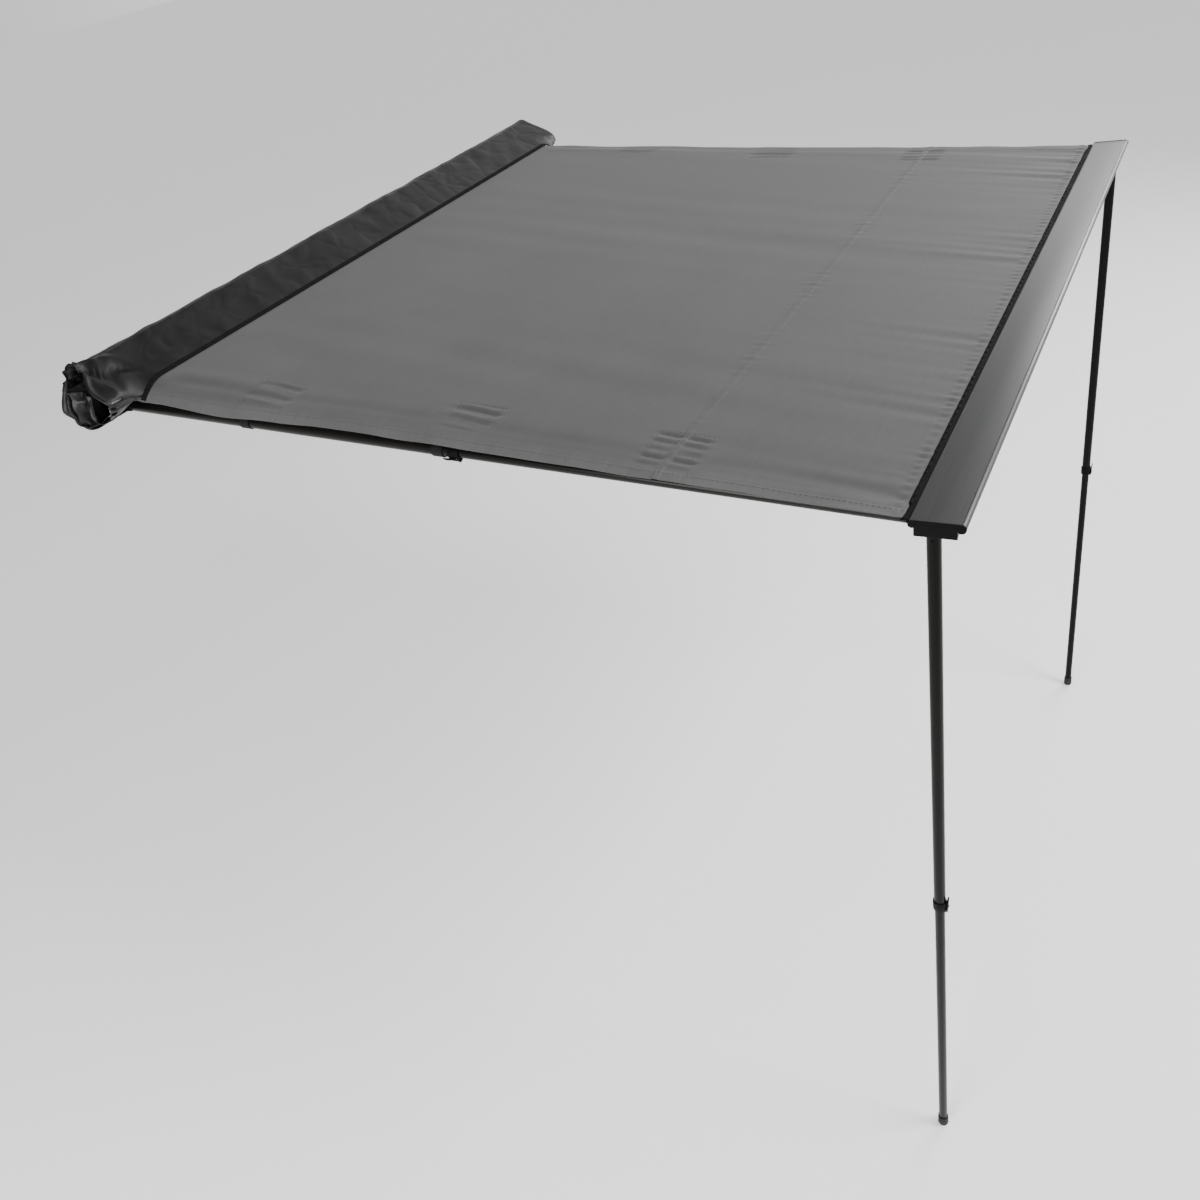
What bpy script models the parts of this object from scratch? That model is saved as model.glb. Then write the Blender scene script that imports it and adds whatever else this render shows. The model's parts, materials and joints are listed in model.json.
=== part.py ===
"""Pull-out vehicle side awning, standing open beside the vehicle.

Metres, +Z up. The origin is the centre of the backboard's rear face, the face
that bolts to the roof rack. +X points away from the vehicle and Y runs along
it, with the near end at -Y and the far end at +Y. Rest is fully pulled out:
both arms are at full reach and both legs hang straight down.
"""

import math

import bmesh
import bpy
from mathutils import Matrix, Vector

WIDTH = 2.000  # canopy, backboard and front rail, along the vehicle
GAP = 0.0003  # running gap between neighbouring pieces

# Backboard extrusion, its rear face on X = 0
BOARD_DEPTH = 0.022
BOARD_HEIGHT = 0.110
BOARD_WALL = 0.0025
SLOT_Z = 0.027  # T-slot centres, above and below the middle
SLOT_THROAT = 0.0085
SLOT_LIP = 0.0022
SLOT_WIDTH = 0.014
SLOT_DEPTH = 0.0087
KEDER_RADIUS = 0.0028
KEDER_MOUTH = 0.0024
BAG_GROOVE_Z = 0.0475
CANOPY_GROOVE_Z = 0.0345
CAP_THICKNESS = 0.004

# Canopy: a straight fall from the backboard's groove to the front rail
SEAM_X = 0.165  # where the bag's upper edge is sewn to the canopy
REACH = 1.8255  # from that seam to the front rail
RAIL_X = SEAM_X + REACH
RAIL_TOP = -0.139
CANOPY_BACK_X = 0.0208
CANOPY_THICKNESS = 0.0010
HEM_DROOP = 0.029  # how far the side hems hang below the canopy's plane
HEM_BULGE = 0.012  # extra droop where the wind flap hangs slack near the bag
HEM_WIDTH = 0.10
BELLY = 0.006

# Front rail extrusion, measured from its inner edge and its top face
BEAD_X = 0.0047
BEAD_RADIUS = 0.0062
RAIL_KEDER_RADIUS = 0.0026
RAIL_PLATE = 0.0028
LIP_X = 0.0815
LIP_RADIUS = 0.0078
LIP_INNER = 0.0056
FLANGE_IN = 0.0075  # outer faces of the two flanges under the plate
FLANGE_OUT = 0.0758
FLANGE_WALL = 0.0020
FLANGE_DEPTH = 0.026
STRIP_WIDTH = 0.0110
STRIP_THICKNESS = 0.0012

# Telescopic tubes
OUTER_RADIUS = 0.0125
INNER_RADIUS = 0.0110
TUBE_WALL = 0.0012
TUBE_SIDES = 24
TUBE_OVERLAP = 0.100  # of the inner tube in the outer one at full reach

# Arms, in a frame with X along the arm
ARM_X = 0.050  # swing axis, out from the backboard's rear face
ARM_Z = -0.0444  # and its height at the arm's own axis
ARM_INSET = 0.036  # arm axis, in from the canopy's side
ARM_TIP_DROP = 0.0195  # arm tip below the front rail's top face
ARM_TIP_X = RAIL_X + 0.0005
ARM_CANT = math.radians(1.05)  # lets the stowed arms lie one above the other

# Legs
LEG_INSET = 0.057  # fold axis, in from the rail's end
LEG_X = {"near": 0.0245, "far": 0.0580}  # side by side in the rail's channel
LEG_PIVOT_DROP = 0.0165
FLOOR_Z = -2.180
LEG_CLAMP = 1.038  # clamp's middle, down from the fold axis
FOOT_RADIUS = 0.0135
FOOT_HEIGHT = 0.036

# Knuckles of arms and legs
TONGUE_THICKNESS = 0.012
SHOULDER = 0.016  # from the pin to the tube's shoulder
PLUG_DEPTH = 0.050  # of the plug in the tube, which a screw holds
PIN_RADIUS = 0.003
EAR_THICKNESS = 0.004

# Cam-lever clamps
COLLAR_RADIUS = 0.0150
COLLAR_LENGTH = 0.028
LEVER_PIN_OUT = 0.0158  # lever pin, out from the tube's axis
LEVER_PIN_ALONG = 0.010  # and along it, past the clamp's middle
LEVER_WIDTH = 0.010
LEVER_REACH = 0.036
CAM_RADIUS = 0.0026
LEVER_PIN_RADIUS = 0.0014

# Bag
BAG_THICKNESS = 0.0025
BAG_RIDGE = (0.034, 0.056)  # centre of the rounded top, X and Z
BAG_RIDGE_RADIUS = 0.040
BAG_MIDDLE = (0.062, 0.018)  # middle of the bag's section
BAG_END_LENGTH = 0.060  # the near pouch's length, middle and spread
BAG_END_LOBES = 0.022
BAG_LOBE_ANGLE = 20  # degrees above +X at which the front lobe is longest

SIDES = {"near": -1.0, "far": 1.0}

ALONG_X = Matrix.Rotation(math.radians(90), 4, "Z") @ Matrix.Rotation(math.radians(90), 4, "X")
ALONG_Y = Matrix.Rotation(math.radians(90), 4, "X")

MATERIALS = {
    "anodised_grey": ("8A8A8A", 0.35, 0.9),
    "black_anodised": ("242322", 0.35, 0.7),
    "black_nylon": ("171717", 0.55, 0.0),
    "rubber": ("151515", 0.85, 0.0),
    "zinc_steel": ("9C9C98", 0.35, 1.0),
    "canopy_cloth": ("767676", 0.85, 0.0),
    "bag_cloth": ("2C2C2D", 0.6, 0.0),
    "webbing": ("1B1B1B", 0.9, 0.0),
}


def remove_everything():
    """Empty the open file of objects."""
    for old in list(bpy.data.objects):
        bpy.data.objects.remove(old, do_unlink=True)


def collection(name):
    """A new collection in the scene."""
    made = bpy.data.collections.new(name)
    bpy.context.scene.collection.children.link(made)
    return made


def material(name):
    """The named finish, made on first use."""
    found = bpy.data.materials.get(name)
    if found:
        return found
    colour, roughness, metallic = MATERIALS[name]
    made = bpy.data.materials.new(name)
    made.use_nodes = True
    shader = made.node_tree.nodes["Principled BSDF"]
    rgb = [int(colour[i : i + 2], 16) / 255 for i in (0, 2, 4)]
    linear = [c / 12.92 if c <= 0.04045 else ((c + 0.055) / 1.055) ** 2.4 for c in rgb]
    shader.inputs["Base Color"].default_value = (*linear, 1.0)
    shader.inputs["Roughness"].default_value = roughness
    shader.inputs["Metallic"].default_value = metallic
    return made


class Workshop:
    """Keeps the finished pieces apart from the shapes that cut or join them."""

    def __init__(self):
        self.parts = collection("vehicle_side_awning")
        self.cutters = collection("cutters")

    def piece(self, name, mesh, finish, parent=None, at=(0, 0, 0)):
        """Put a finished piece in the model, at a place in its parent's frame."""
        obj = bpy.data.objects.new(name, mesh)
        mesh.materials.clear()
        mesh.materials.append(material(finish))
        mesh.shade_smooth()
        mesh.set_sharp_from_angle(angle=math.radians(35))
        obj.location = at
        obj.parent = parent
        self.parts.objects.link(obj)
        return obj

    def tool(self, mesh, parent=None, at=(0, 0, 0)):
        """A shape that only cuts or joins, never a piece of its own."""
        obj = bpy.data.objects.new(mesh.name + "_tool", mesh)
        obj.location = at
        obj.parent = parent
        obj.display_type = "WIRE"
        obj.hide_render = True
        self.cutters.objects.link(obj)
        return obj

    def frame(self, name, at, rotation=None, parent=None):
        """An empty that carries the pieces of one moving assembly."""
        empty = bpy.data.objects.new(name, None)
        empty.matrix_local = Matrix.Translation(at) @ (rotation or Matrix.Identity(4))
        empty.parent = parent
        self.parts.objects.link(empty)
        return empty


def boolean(target, other, operation):
    """Cut a shape away from a piece, or join it on."""
    modifier = target.modifiers.new(other.name, "BOOLEAN")
    modifier.operation = operation
    modifier.object = other
    modifier.solver = "EXACT"


def bevel(target, width, segments=1, angle=40):
    """Break a piece's sharp edges."""
    modifier = target.modifiers.new("edges", "BEVEL")
    modifier.width = width
    modifier.segments = segments
    modifier.limit_method = "ANGLE"
    modifier.angle_limit = math.radians(angle)


def arc(centre, radius, start, end, steps):
    """Points on an arc from one angle to another in degrees, both included."""
    points = []
    for i in range(steps + 1):
        a = math.radians(start + (end - start) * i / steps)
        points.append((centre[0] + radius * math.cos(a), centre[1] + radius * math.sin(a)))
    return points


def rectangle(x0, x1, y0, y1):
    """The corners of a flat rectangle."""
    return [(x0, y0), (x1, y0), (x1, y1), (x0, y1)]


def prism(name, outlines, depth, turn=None, at=(0, 0, 0)):
    """A filled 2D outline with its holes, drawn out to a depth."""
    curve = bpy.data.curves.new(name, "CURVE")
    curve.dimensions = "2D"
    curve.fill_mode = "BOTH"
    curve.extrude = depth / 2
    for outline in outlines:
        spline = curve.splines.new("POLY")
        spline.points.add(len(outline) - 1)
        for point, (x, y) in zip(spline.points, outline):
            point.co = (x, y, 0, 1)
        spline.use_cyclic_u = True
    drawn = bpy.data.objects.new(name, curve)
    bpy.context.scene.collection.objects.link(drawn)
    bpy.context.view_layer.update()
    mesh = bpy.data.meshes.new_from_object(drawn.evaluated_get(bpy.context.evaluated_depsgraph_get()))
    bpy.data.objects.remove(drawn, do_unlink=True)
    mesh.name = name
    shape = bmesh.new()
    shape.from_mesh(mesh)
    bmesh.ops.remove_doubles(shape, verts=shape.verts, dist=1e-6)
    bmesh.ops.recalc_face_normals(shape, faces=shape.faces)
    shape.to_mesh(mesh)
    shape.free()
    mesh.transform(Matrix.Translation(at) @ (turn or Matrix.Identity(4)))
    return mesh


def rod(name, radius, length, turn=None, at=(0, 0, 0), sides=TUBE_SIDES):
    """A solid cylinder along Z, centred, then turned and moved."""
    shape = bmesh.new()
    bmesh.ops.create_cone(
        shape, cap_ends=True, segments=sides, radius1=radius, radius2=radius, depth=length
    )
    mesh = bpy.data.meshes.new(name)
    shape.to_mesh(mesh)
    shape.free()
    mesh.transform(Matrix.Translation(at) @ (turn or Matrix.Identity(4)))
    return mesh


def block(name, x, y, z):
    """A box between two values on each axis."""
    shape = bmesh.new()
    bmesh.ops.create_cube(shape, size=1.0)
    size = Matrix.Diagonal((x[1] - x[0], y[1] - y[0], z[1] - z[0], 1))
    middle = Matrix.Translation(((x[0] + x[1]) / 2, (y[0] + y[1]) / 2, (z[0] + z[1]) / 2))
    bmesh.ops.transform(shape, matrix=middle @ size, verts=shape.verts)
    mesh = bpy.data.meshes.new(name)
    shape.to_mesh(mesh)
    shape.free()
    return mesh


def profile(name, points, closed):
    """A line of edges in the XZ plane, for turning about Z."""
    mesh = bpy.data.meshes.new(name)
    edges = [(i, i + 1) for i in range(len(points) - 1)]
    if closed:
        edges.append((len(points) - 1, 0))
    mesh.from_pydata([(r, 0, z) for r, z in points], edges, [])
    return mesh


def turned(shop, name, points, finish, parent, at=(0, 0, 0), closed=False, sides=TUBE_SIDES):
    """A turned piece: a profile of (radius, height) swept round Z."""
    obj = shop.piece(name, profile(name, points, closed), finish, parent, at)
    screw = obj.modifiers.new("turn", "SCREW")
    screw.axis = "Z"
    screw.steps = sides
    screw.render_steps = sides
    screw.use_merge_vertices = True
    screw.merge_threshold = 0.00002
    return obj


def tube(shop, name, radius, start, end, parent):
    """A thin open tube along its parent's Z, from one height to another."""
    shape = bmesh.new()
    bmesh.ops.create_cone(
        shape, cap_ends=False, segments=TUBE_SIDES, radius1=radius, radius2=radius, depth=end - start
    )
    mesh = bpy.data.meshes.new(name)
    shape.to_mesh(mesh)
    shape.free()
    mesh.transform(Matrix.Translation((0, 0, (start + end) / 2)))
    obj = shop.piece(name, mesh, "black_anodised", parent)
    skin = obj.modifiers.new("wall", "SOLIDIFY")
    skin.thickness = TUBE_WALL
    skin.offset = -1
    skin.use_even_offset = True
    return obj


def keder_groove(centre, radius, mouth, face, side, steps=12):
    """Outline of a round groove that opens on a face of a profile.

    face is the face's coordinate on the first axis; side is -1 where the face
    looks along minus that axis. The points run with the second axis rising on
    a -1 face and falling on a +1 face.
    """
    half = math.degrees(math.asin(mouth / 2 / radius))
    start = 180 + half if side < 0 else half
    sweep = 360 - 2 * half
    points = arc(centre, radius, start, start + sweep, steps)
    lips = [(face, points[0][1]), *points, (face, points[-1][1])]
    return lips


def t_slot(z):
    """Outline of a T-slot that opens on the backboard's rear face."""
    half, wide = SLOT_THROAT / 2, SLOT_WIDTH / 2
    return [
        (0, z - half),
        (SLOT_LIP, z - half),
        (SLOT_LIP, z - wide),
        (SLOT_DEPTH, z - wide),
        (SLOT_DEPTH, z + wide),
        (SLOT_LIP, z + wide),
        (SLOT_LIP, z + half),
        (0, z + half),
    ]


def board_outline():
    """The backboard's section: two T-slots, two bag grooves, one canopy groove."""
    half, corner = BOARD_HEIGHT / 2, 0.0015
    bag_x = 0.0042
    rear = [
        (0, -half + corner),
        *keder_groove((bag_x, -BAG_GROOVE_Z), KEDER_RADIUS, KEDER_MOUTH, 0, -1),
        *t_slot(-SLOT_Z),
        *t_slot(SLOT_Z),
        *keder_groove((bag_x, BAG_GROOVE_Z), KEDER_RADIUS, KEDER_MOUTH, 0, -1),
        (0, half - corner),
    ]
    canopy = keder_groove(
        (BOARD_DEPTH - bag_x, CANOPY_GROOVE_Z), KEDER_RADIUS, KEDER_MOUTH, BOARD_DEPTH, 1
    )
    front = [
        (corner, half),
        (BOARD_DEPTH - corner, half),
        (BOARD_DEPTH, half - corner),
        *canopy,
        (BOARD_DEPTH, -half + corner),
        (BOARD_DEPTH - corner, -half),
        (corner, -half),
    ]
    return rear + front


def board_chambers(shrink=0.0):
    """The hollow chambers of the backboard's section, optionally drawn in."""
    front = BOARD_DEPTH - BOARD_WALL - shrink
    behind_slot = SLOT_DEPTH + BOARD_WALL + shrink
    middle = SLOT_Z - SLOT_WIDTH / 2 - BOARD_WALL - shrink
    near_slot = SLOT_Z - SLOT_WIDTH / 2 + shrink
    to_bag_groove = BAG_GROOVE_Z - KEDER_RADIUS - BOARD_WALL - shrink
    to_canopy_groove = CANOPY_GROOVE_Z - KEDER_RADIUS - BOARD_WALL - shrink
    return [
        rectangle(BOARD_WALL + shrink, front, -middle, middle),
        rectangle(behind_slot, front, -to_bag_groove, -near_slot),
        rectangle(behind_slot, front, near_slot, to_canopy_groove),
    ]


def build_backboard(shop):
    """The extrusion that bolts to the rack, with its end caps and rack bolts."""
    section = [board_outline(), *board_chambers()]
    shop.piece("backboard", prism("backboard", section, WIDTH, ALONG_Y), "anodised_grey")
    half = BOARD_HEIGHT / 2 + 0.0005
    plate = rectangle(0.0002, BOARD_DEPTH, -half, half)
    boss_length = 0.012
    for side, sign in SIDES.items():
        name = f"backboard_cap_{side}"
        middle = sign * (WIDTH / 2 + GAP + CAP_THICKNESS / 2)
        cap = shop.piece(
            name, prism(name, [plate], CAP_THICKNESS, ALONG_Y, (0, middle, 0)), "black_nylon"
        )
        bevel(cap, 0.0008)
        for i, chamber in enumerate(board_chambers(shrink=0.0004)):
            inner = sign * (WIDTH / 2 + CAP_THICKNESS / 2 - boss_length / 2)
            boss = prism(f"{name}_boss_{i}", [chamber], boss_length, ALONG_Y, (0, inner, 0))
            boolean(cap, shop.tool(boss), "UNION")
    build_rack_bolts(shop)


def build_rack_bolts(shop):
    """Four T-bolts, held in the slots, with their nuts run on."""
    head, head_height = 0.0062, 0.0053
    shank, length = 0.0040, 0.034
    nut, nut_height = 0.0072, 0.0066
    number = 0
    for y in (-0.55, 0.55):
        for z in (-SLOT_Z, SLOT_Z):
            number += 1
            base = SLOT_LIP + GAP
            points = [
                (0, -base - head_height),
                (head, -base - head_height),
                (head, -base),
                (shank - 0.0002, -base),
                (shank - 0.0002, 0.012),
                (nut, 0.012),
                (nut, 0.012 + nut_height),
                (shank - 0.0002, 0.012 + nut_height),
                (shank - 0.0002, length),
                (0, length),
            ]
            holder = shop.frame(
                f"rack_bolt_{number}_axis", (0, y, z), Matrix.Rotation(math.radians(-90), 4, "Y")
            )
            turned(shop, f"rack_bolt_{number}", points[::-1], "zinc_steel", holder, sides=6)


def hinge_frame():
    """Turns X along the arm, Y along the stowed arm and Z along the swing axis."""
    along = Vector((ARM_TIP_X - ARM_X, 0, RAIL_TOP - ARM_TIP_DROP - ARM_Z)).normalized()
    stowed = Vector((0, math.cos(ARM_CANT), math.sin(ARM_CANT)))
    axis = along.cross(stowed).normalized()
    return Matrix((along, axis.cross(along), axis)).transposed().to_4x4()


def arm_length():
    """From the swing axis to the peg on the front rail."""
    return math.hypot(ARM_TIP_X - ARM_X, RAIL_TOP - ARM_TIP_DROP - ARM_Z)


def knuckle_outline(radius, reach, width):
    """A tongue's side: round at the pin and square where it meets the tube."""
    return [*arc((0, 0), radius, 90, 270, 10), (reach, -width / 2), (reach, width / 2)]


def build_knuckle(shop, name, holder):
    """The plug in a tube's end and its tongue, with the pin's hole at the origin.

    The holder's X runs down the tube and its Z is along the pin.
    """
    radius = 0.0105
    outline = knuckle_outline(radius, SHOULDER + 0.001, 2 * radius)
    tongue = shop.piece(name, prism(name, [outline], TONGUE_THICKNESS), "black_nylon", holder)
    plug_radius = OUTER_RADIUS - TUBE_WALL - GAP
    rim = 0.0040
    turn = Matrix.Rotation(math.radians(90), 4, "Y")
    shoulder = rod(name + "_shoulder", OUTER_RADIUS, rim, turn, (SHOULDER + rim / 2, 0, 0))
    length = PLUG_DEPTH + rim / 2
    middle = SHOULDER + rim / 2 + length / 2
    plug = rod(name + "_plug", plug_radius, length, turn, (middle, 0, 0))
    boolean(tongue, shop.tool(shoulder, holder), "UNION")
    boolean(tongue, shop.tool(plug, holder), "UNION")
    hole = rod(name + "_hole", PIN_RADIUS + GAP, 2 * TONGUE_THICKNESS)
    boolean(tongue, shop.tool(hole, holder), "DIFFERENCE")
    return SHOULDER + rim + GAP


def collar_profile():
    """The clamp collar's section: it steps from the outer tube to the inner one."""
    half, chamfer = COLLAR_LENGTH / 2, 0.0015
    over_outer = OUTER_RADIUS + GAP
    over_inner = INNER_RADIUS + GAP
    return [
        (over_outer, half),
        (COLLAR_RADIUS - chamfer, half),
        (COLLAR_RADIUS, half - chamfer),
        (COLLAR_RADIUS, -half + chamfer),
        (COLLAR_RADIUS - chamfer, -half),
        (over_inner, -half),
        (over_inner, -GAP),
        (over_outer, -GAP),
    ]


def lever_outline():
    """The cam lever's side, its pin at the origin, X outwards and Y up the tube."""
    inner, outer = -0.0003, CAM_RADIUS
    return [
        *arc((0, 0), CAM_RADIUS, 180, 360, 8),
        (outer, LEVER_REACH * 0.55),
        (outer + 0.0008, LEVER_REACH - 0.001),
        (outer + 0.0002, LEVER_REACH),
        (outer - 0.0016, LEVER_REACH),
        (inner, LEVER_REACH * 0.55),
        (inner, 0.006),
        (-CAM_RADIUS, 0.0015),
    ]


def build_clamp(shop, name, holder):
    """A cam-lever clamp: collar with lugs, lever and pin.

    The holder sits on the tube's axis at the clamp's middle. Its Z runs back
    along the outer tube and its X points at the lever.
    """
    collar = turned(
        shop, f"{name}_clamp", collar_profile(), "black_nylon", holder, closed=True
    )
    lug_in, lug_out = LEVER_WIDTH / 2 + 0.0004, LEVER_WIDTH / 2 + 0.0032
    lug_low, lug_high = -LEVER_PIN_ALONG - 0.0065, -LEVER_PIN_ALONG + 0.0070
    lug_radius = 0.0032
    for sign in (-1, 1):
        outline = [
            (0.0108, lug_low + 0.0015),
            *arc((LEVER_PIN_OUT, -LEVER_PIN_ALONG), lug_radius, -75, 60, 6),
            (0.0108, lug_high),
        ]
        middle = sign * (lug_in + lug_out) / 2
        lug = prism(f"{name}_lug_{sign:+.0f}", [outline], lug_out - lug_in, ALONG_Y, (0, middle, 0))
        boolean(collar, shop.tool(lug, holder), "UNION")
    bore = rod(name + "_bore", INNER_RADIUS + GAP, 0.012, at=(0, 0, -COLLAR_LENGTH / 2))
    boolean(collar, shop.tool(bore, holder), "DIFFERENCE")
    pocket_depth = LEVER_PIN_OUT - CAM_RADIUS - 0.0003
    pocket = block(
        name + "_pocket",
        (pocket_depth, 0.03),
        (-lug_in, lug_in),
        (-LEVER_PIN_ALONG - CAM_RADIUS - 0.003, -LEVER_PIN_ALONG + 0.0085),
    )
    boolean(collar, shop.tool(pocket, holder), "DIFFERENCE")
    pin_hole = rod(name + "_pin_hole", LEVER_PIN_RADIUS + GAP, 0.03, ALONG_Y, sides=12)
    pin_at = (LEVER_PIN_OUT, 0, -LEVER_PIN_ALONG)
    boolean(collar, shop.tool(pin_hole, holder, pin_at), "DIFFERENCE")
    pin = rod(f"{name}_lever_pin", LEVER_PIN_RADIUS, 2 * lug_out - 0.0006, ALONG_Y, sides=12)
    shop.piece(f"{name}_lever_pin", pin, "zinc_steel", holder, pin_at)
    lever_mesh = prism(f"{name}_lever", [lever_outline()], LEVER_WIDTH, ALONG_Y)
    lever = shop.piece(f"{name}_lever", lever_mesh, "black_nylon", holder, pin_at)
    lever_hole = rod(name + "_lever_hole", LEVER_PIN_RADIUS + GAP, 0.03, ALONG_Y, sides=12)
    boolean(lever, shop.tool(lever_hole, holder, pin_at), "DIFFERENCE")


def clamp_frame(shop, name, parent, at, back, towards):
    """A clamp's frame: Z runs back along the outer tube, X points at the lever."""
    z_axis, x_axis = Vector(back), Vector(towards).normalized()
    turn = Matrix((x_axis, z_axis.cross(x_axis), z_axis)).transposed().to_4x4()
    return shop.frame(f"{name}_clamp_axis", at, turn, parent)


def build_arm_bracket(shop, side, holder):
    """The bracket on the backboard that carries an arm's root, and its pin."""
    name = f"{side}_arm_bracket"
    y = SIDES[side] * (WIDTH / 2 - ARM_INSET)
    plate_half, plate_depth = 0.0170, 0.0045
    plate = block(
        name,
        (BOARD_DEPTH + GAP, BOARD_DEPTH + GAP + plate_depth),
        (y - plate_half, y + plate_half),
        (-BOARD_HEIGHT / 2 + 0.0005, -0.0215),
    )
    bracket = shop.piece(name, plate, "black_anodised")
    bevel(bracket, 0.001)
    ear_radius = 0.0115
    back = BOARD_DEPTH + GAP + 0.002 - ARM_X
    outline = [*arc((0, 0), ear_radius, -90, 90, 10), (back, ear_radius), (back, -ear_radius)]
    height = TONGUE_THICKNESS / 2 + 0.0004 + EAR_THICKNESS / 2
    for sign in (-1, 1):
        ear = prism(f"{name}_ear_{sign:+.0f}", [outline], EAR_THICKNESS, at=(0, 0, sign * height))
        boolean(bracket, shop.tool(ear, holder), "UNION")
    hole = rod(name + "_hole", PIN_RADIUS + GAP, 0.05)
    boolean(bracket, shop.tool(hole, holder), "DIFFERENCE")
    top = height + EAR_THICKNESS / 2 + GAP
    head = 0.0055
    points = [(0, top + 0.002), (head, top + 0.002), (head, top), (PIN_RADIUS, top)]
    mirrored = [(r, -z) for r, z in reversed(points)]
    turned(shop, f"{side}_arm_pin", points + mirrored, "zinc_steel", holder, sides=20)


def build_arm(shop, side):
    """One telescopic arm: knuckle, two tubes, clamp, straps and tip."""
    sign = SIDES[side]
    at = (ARM_X, sign * (WIDTH / 2 - ARM_INSET), ARM_Z)
    holder = shop.frame(f"{side}_arm_axis", at, hinge_frame())
    build_arm_bracket(shop, side, holder)
    start = build_knuckle(shop, f"{side}_arm_knuckle", holder)
    run = shop.frame(f"{side}_arm_run", (0, 0, 0), Matrix.Rotation(math.radians(90), 4, "Y"), holder)
    clamp_at = 1.016
    length = arm_length()
    neck = 0.0125
    tube_end = length - neck
    tube(shop, f"{side}_arm_outer_tube", OUTER_RADIUS, start, clamp_at - GAP, run)
    tube(shop, f"{side}_arm_inner_tube", INNER_RADIUS, clamp_at - TUBE_OVERLAP, tube_end - GAP, run)
    clamp = clamp_frame(
        shop, f"{side}_arm", holder, (clamp_at, 0, 0), (-1, 0, 0), (0, sign * 1.0, -1.0)
    )
    build_clamp(shop, f"{side}_arm", clamp)
    build_arm_tip(shop, f"{side}_arm_tip", holder, tube_end, length)
    for number, place in enumerate((0.416, 0.975), start=1):
        build_strap(shop, f"{side}_arm_strap_{number}", holder, place)


def build_arm_tip(shop, name, holder, tube_end, length):
    """The plug at an arm's end, with the eye that sits on the front rail's peg."""
    rim = 0.003
    turn = Matrix.Rotation(math.radians(90), 4, "Y")
    eye = 0.0050
    outline = [*arc((0, 0), eye, -90, 90, 8), (-0.011, eye), (-0.011, -eye)]
    tongue = prism(name, [outline], 0.005, ALONG_Y, (length, 0, 0))
    tip = shop.piece(name, tongue, "black_nylon", holder)
    flange = rod(name + "_rim", INNER_RADIUS, rim, turn, (tube_end + rim / 2, 0, 0))
    plug_length = 0.024
    plug = rod(
        name + "_plug",
        INNER_RADIUS - TUBE_WALL - GAP,
        plug_length,
        turn,
        (tube_end + rim / 2 - plug_length / 2, 0, 0),
    )
    boolean(tip, shop.tool(flange, holder), "UNION")
    boolean(tip, shop.tool(plug, holder), "UNION")
    hole = rod(name + "_eye", 0.0029, 0.02, ALONG_Y, (length, 0, 0), sides=16)
    boolean(tip, shop.tool(hole, holder), "DIFFERENCE")


def build_strap(shop, name, holder, place):
    """A webbing loop round the arm, pinched together above it.

    Its tail is short, so that the stowed arms pass each other.
    """
    inner, outer, width = 0.0129, 0.0152, 0.030
    tail, tail_height = 0.0024, 0.004
    outline = [
        *arc((0, 0), outer, 90 + 10, 450 - 10, 22),
        (tail, outer + tail_height),
        (-tail, outer + tail_height),
    ]
    turn = Matrix.Rotation(math.radians(90), 4, "Z") @ Matrix.Rotation(math.radians(90), 4, "X")
    loop = prism(name, [outline, arc((0, 0), inner, 0, 345, 23)], width, turn, (place, 0, 0))
    shop.piece(name, loop, "webbing", holder)


def rail_outline():
    """The front rail's section: keder bead, plate, drip lip and leg channel."""
    bead, lip = (BEAD_X, -BEAD_RADIUS), (LIP_X, -LIP_RADIUS)
    mouth = 0.0022
    outer_half = math.degrees(math.asin(mouth / 2 / BEAD_RADIUS))
    inner_half = math.degrees(math.asin(mouth / 2 / RAIL_KEDER_RADIUS))
    wall_in, wall_out = FLANGE_IN + FLANGE_WALL, FLANGE_OUT - FLANGE_WALL
    toe, toe_height = 0.0012, 0.0015
    plate_angle = math.degrees(math.asin((BEAD_RADIUS - RAIL_PLATE) / BEAD_RADIUS))
    wall_angle = -math.degrees(math.acos((wall_in - BEAD_X) / BEAD_RADIUS))
    flange_angle = -math.degrees(math.acos((FLANGE_IN - BEAD_X) / BEAD_RADIUS))
    return [
        *arc(bead, BEAD_RADIUS, 180 - outer_half, 90, 6),
        (0.0766, 0),
        (0.0768, -0.0012),
        (0.0780, -0.0012),
        *arc(lip, LIP_RADIUS, 112, -110, 14),
        *arc(lip, LIP_INNER, -110, 95, 10),
        (FLANGE_OUT, -RAIL_PLATE),
        (FLANGE_OUT, -FLANGE_DEPTH),
        (wall_out - toe, -FLANGE_DEPTH),
        (wall_out - toe, -FLANGE_DEPTH + toe_height),
        (wall_out, -FLANGE_DEPTH + toe_height),
        (wall_out, -RAIL_PLATE),
        *arc(bead, BEAD_RADIUS, plate_angle, wall_angle, 5),
        (wall_in, -FLANGE_DEPTH + toe_height),
        (wall_in + toe, -FLANGE_DEPTH + toe_height),
        (wall_in + toe, -FLANGE_DEPTH),
        (FLANGE_IN, -FLANGE_DEPTH),
        *arc(bead, BEAD_RADIUS, flange_angle, -180 + outer_half, 6),
        *arc(bead, RAIL_KEDER_RADIUS, -180 + inner_half, 180 - inner_half, 12),
    ]


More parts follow.
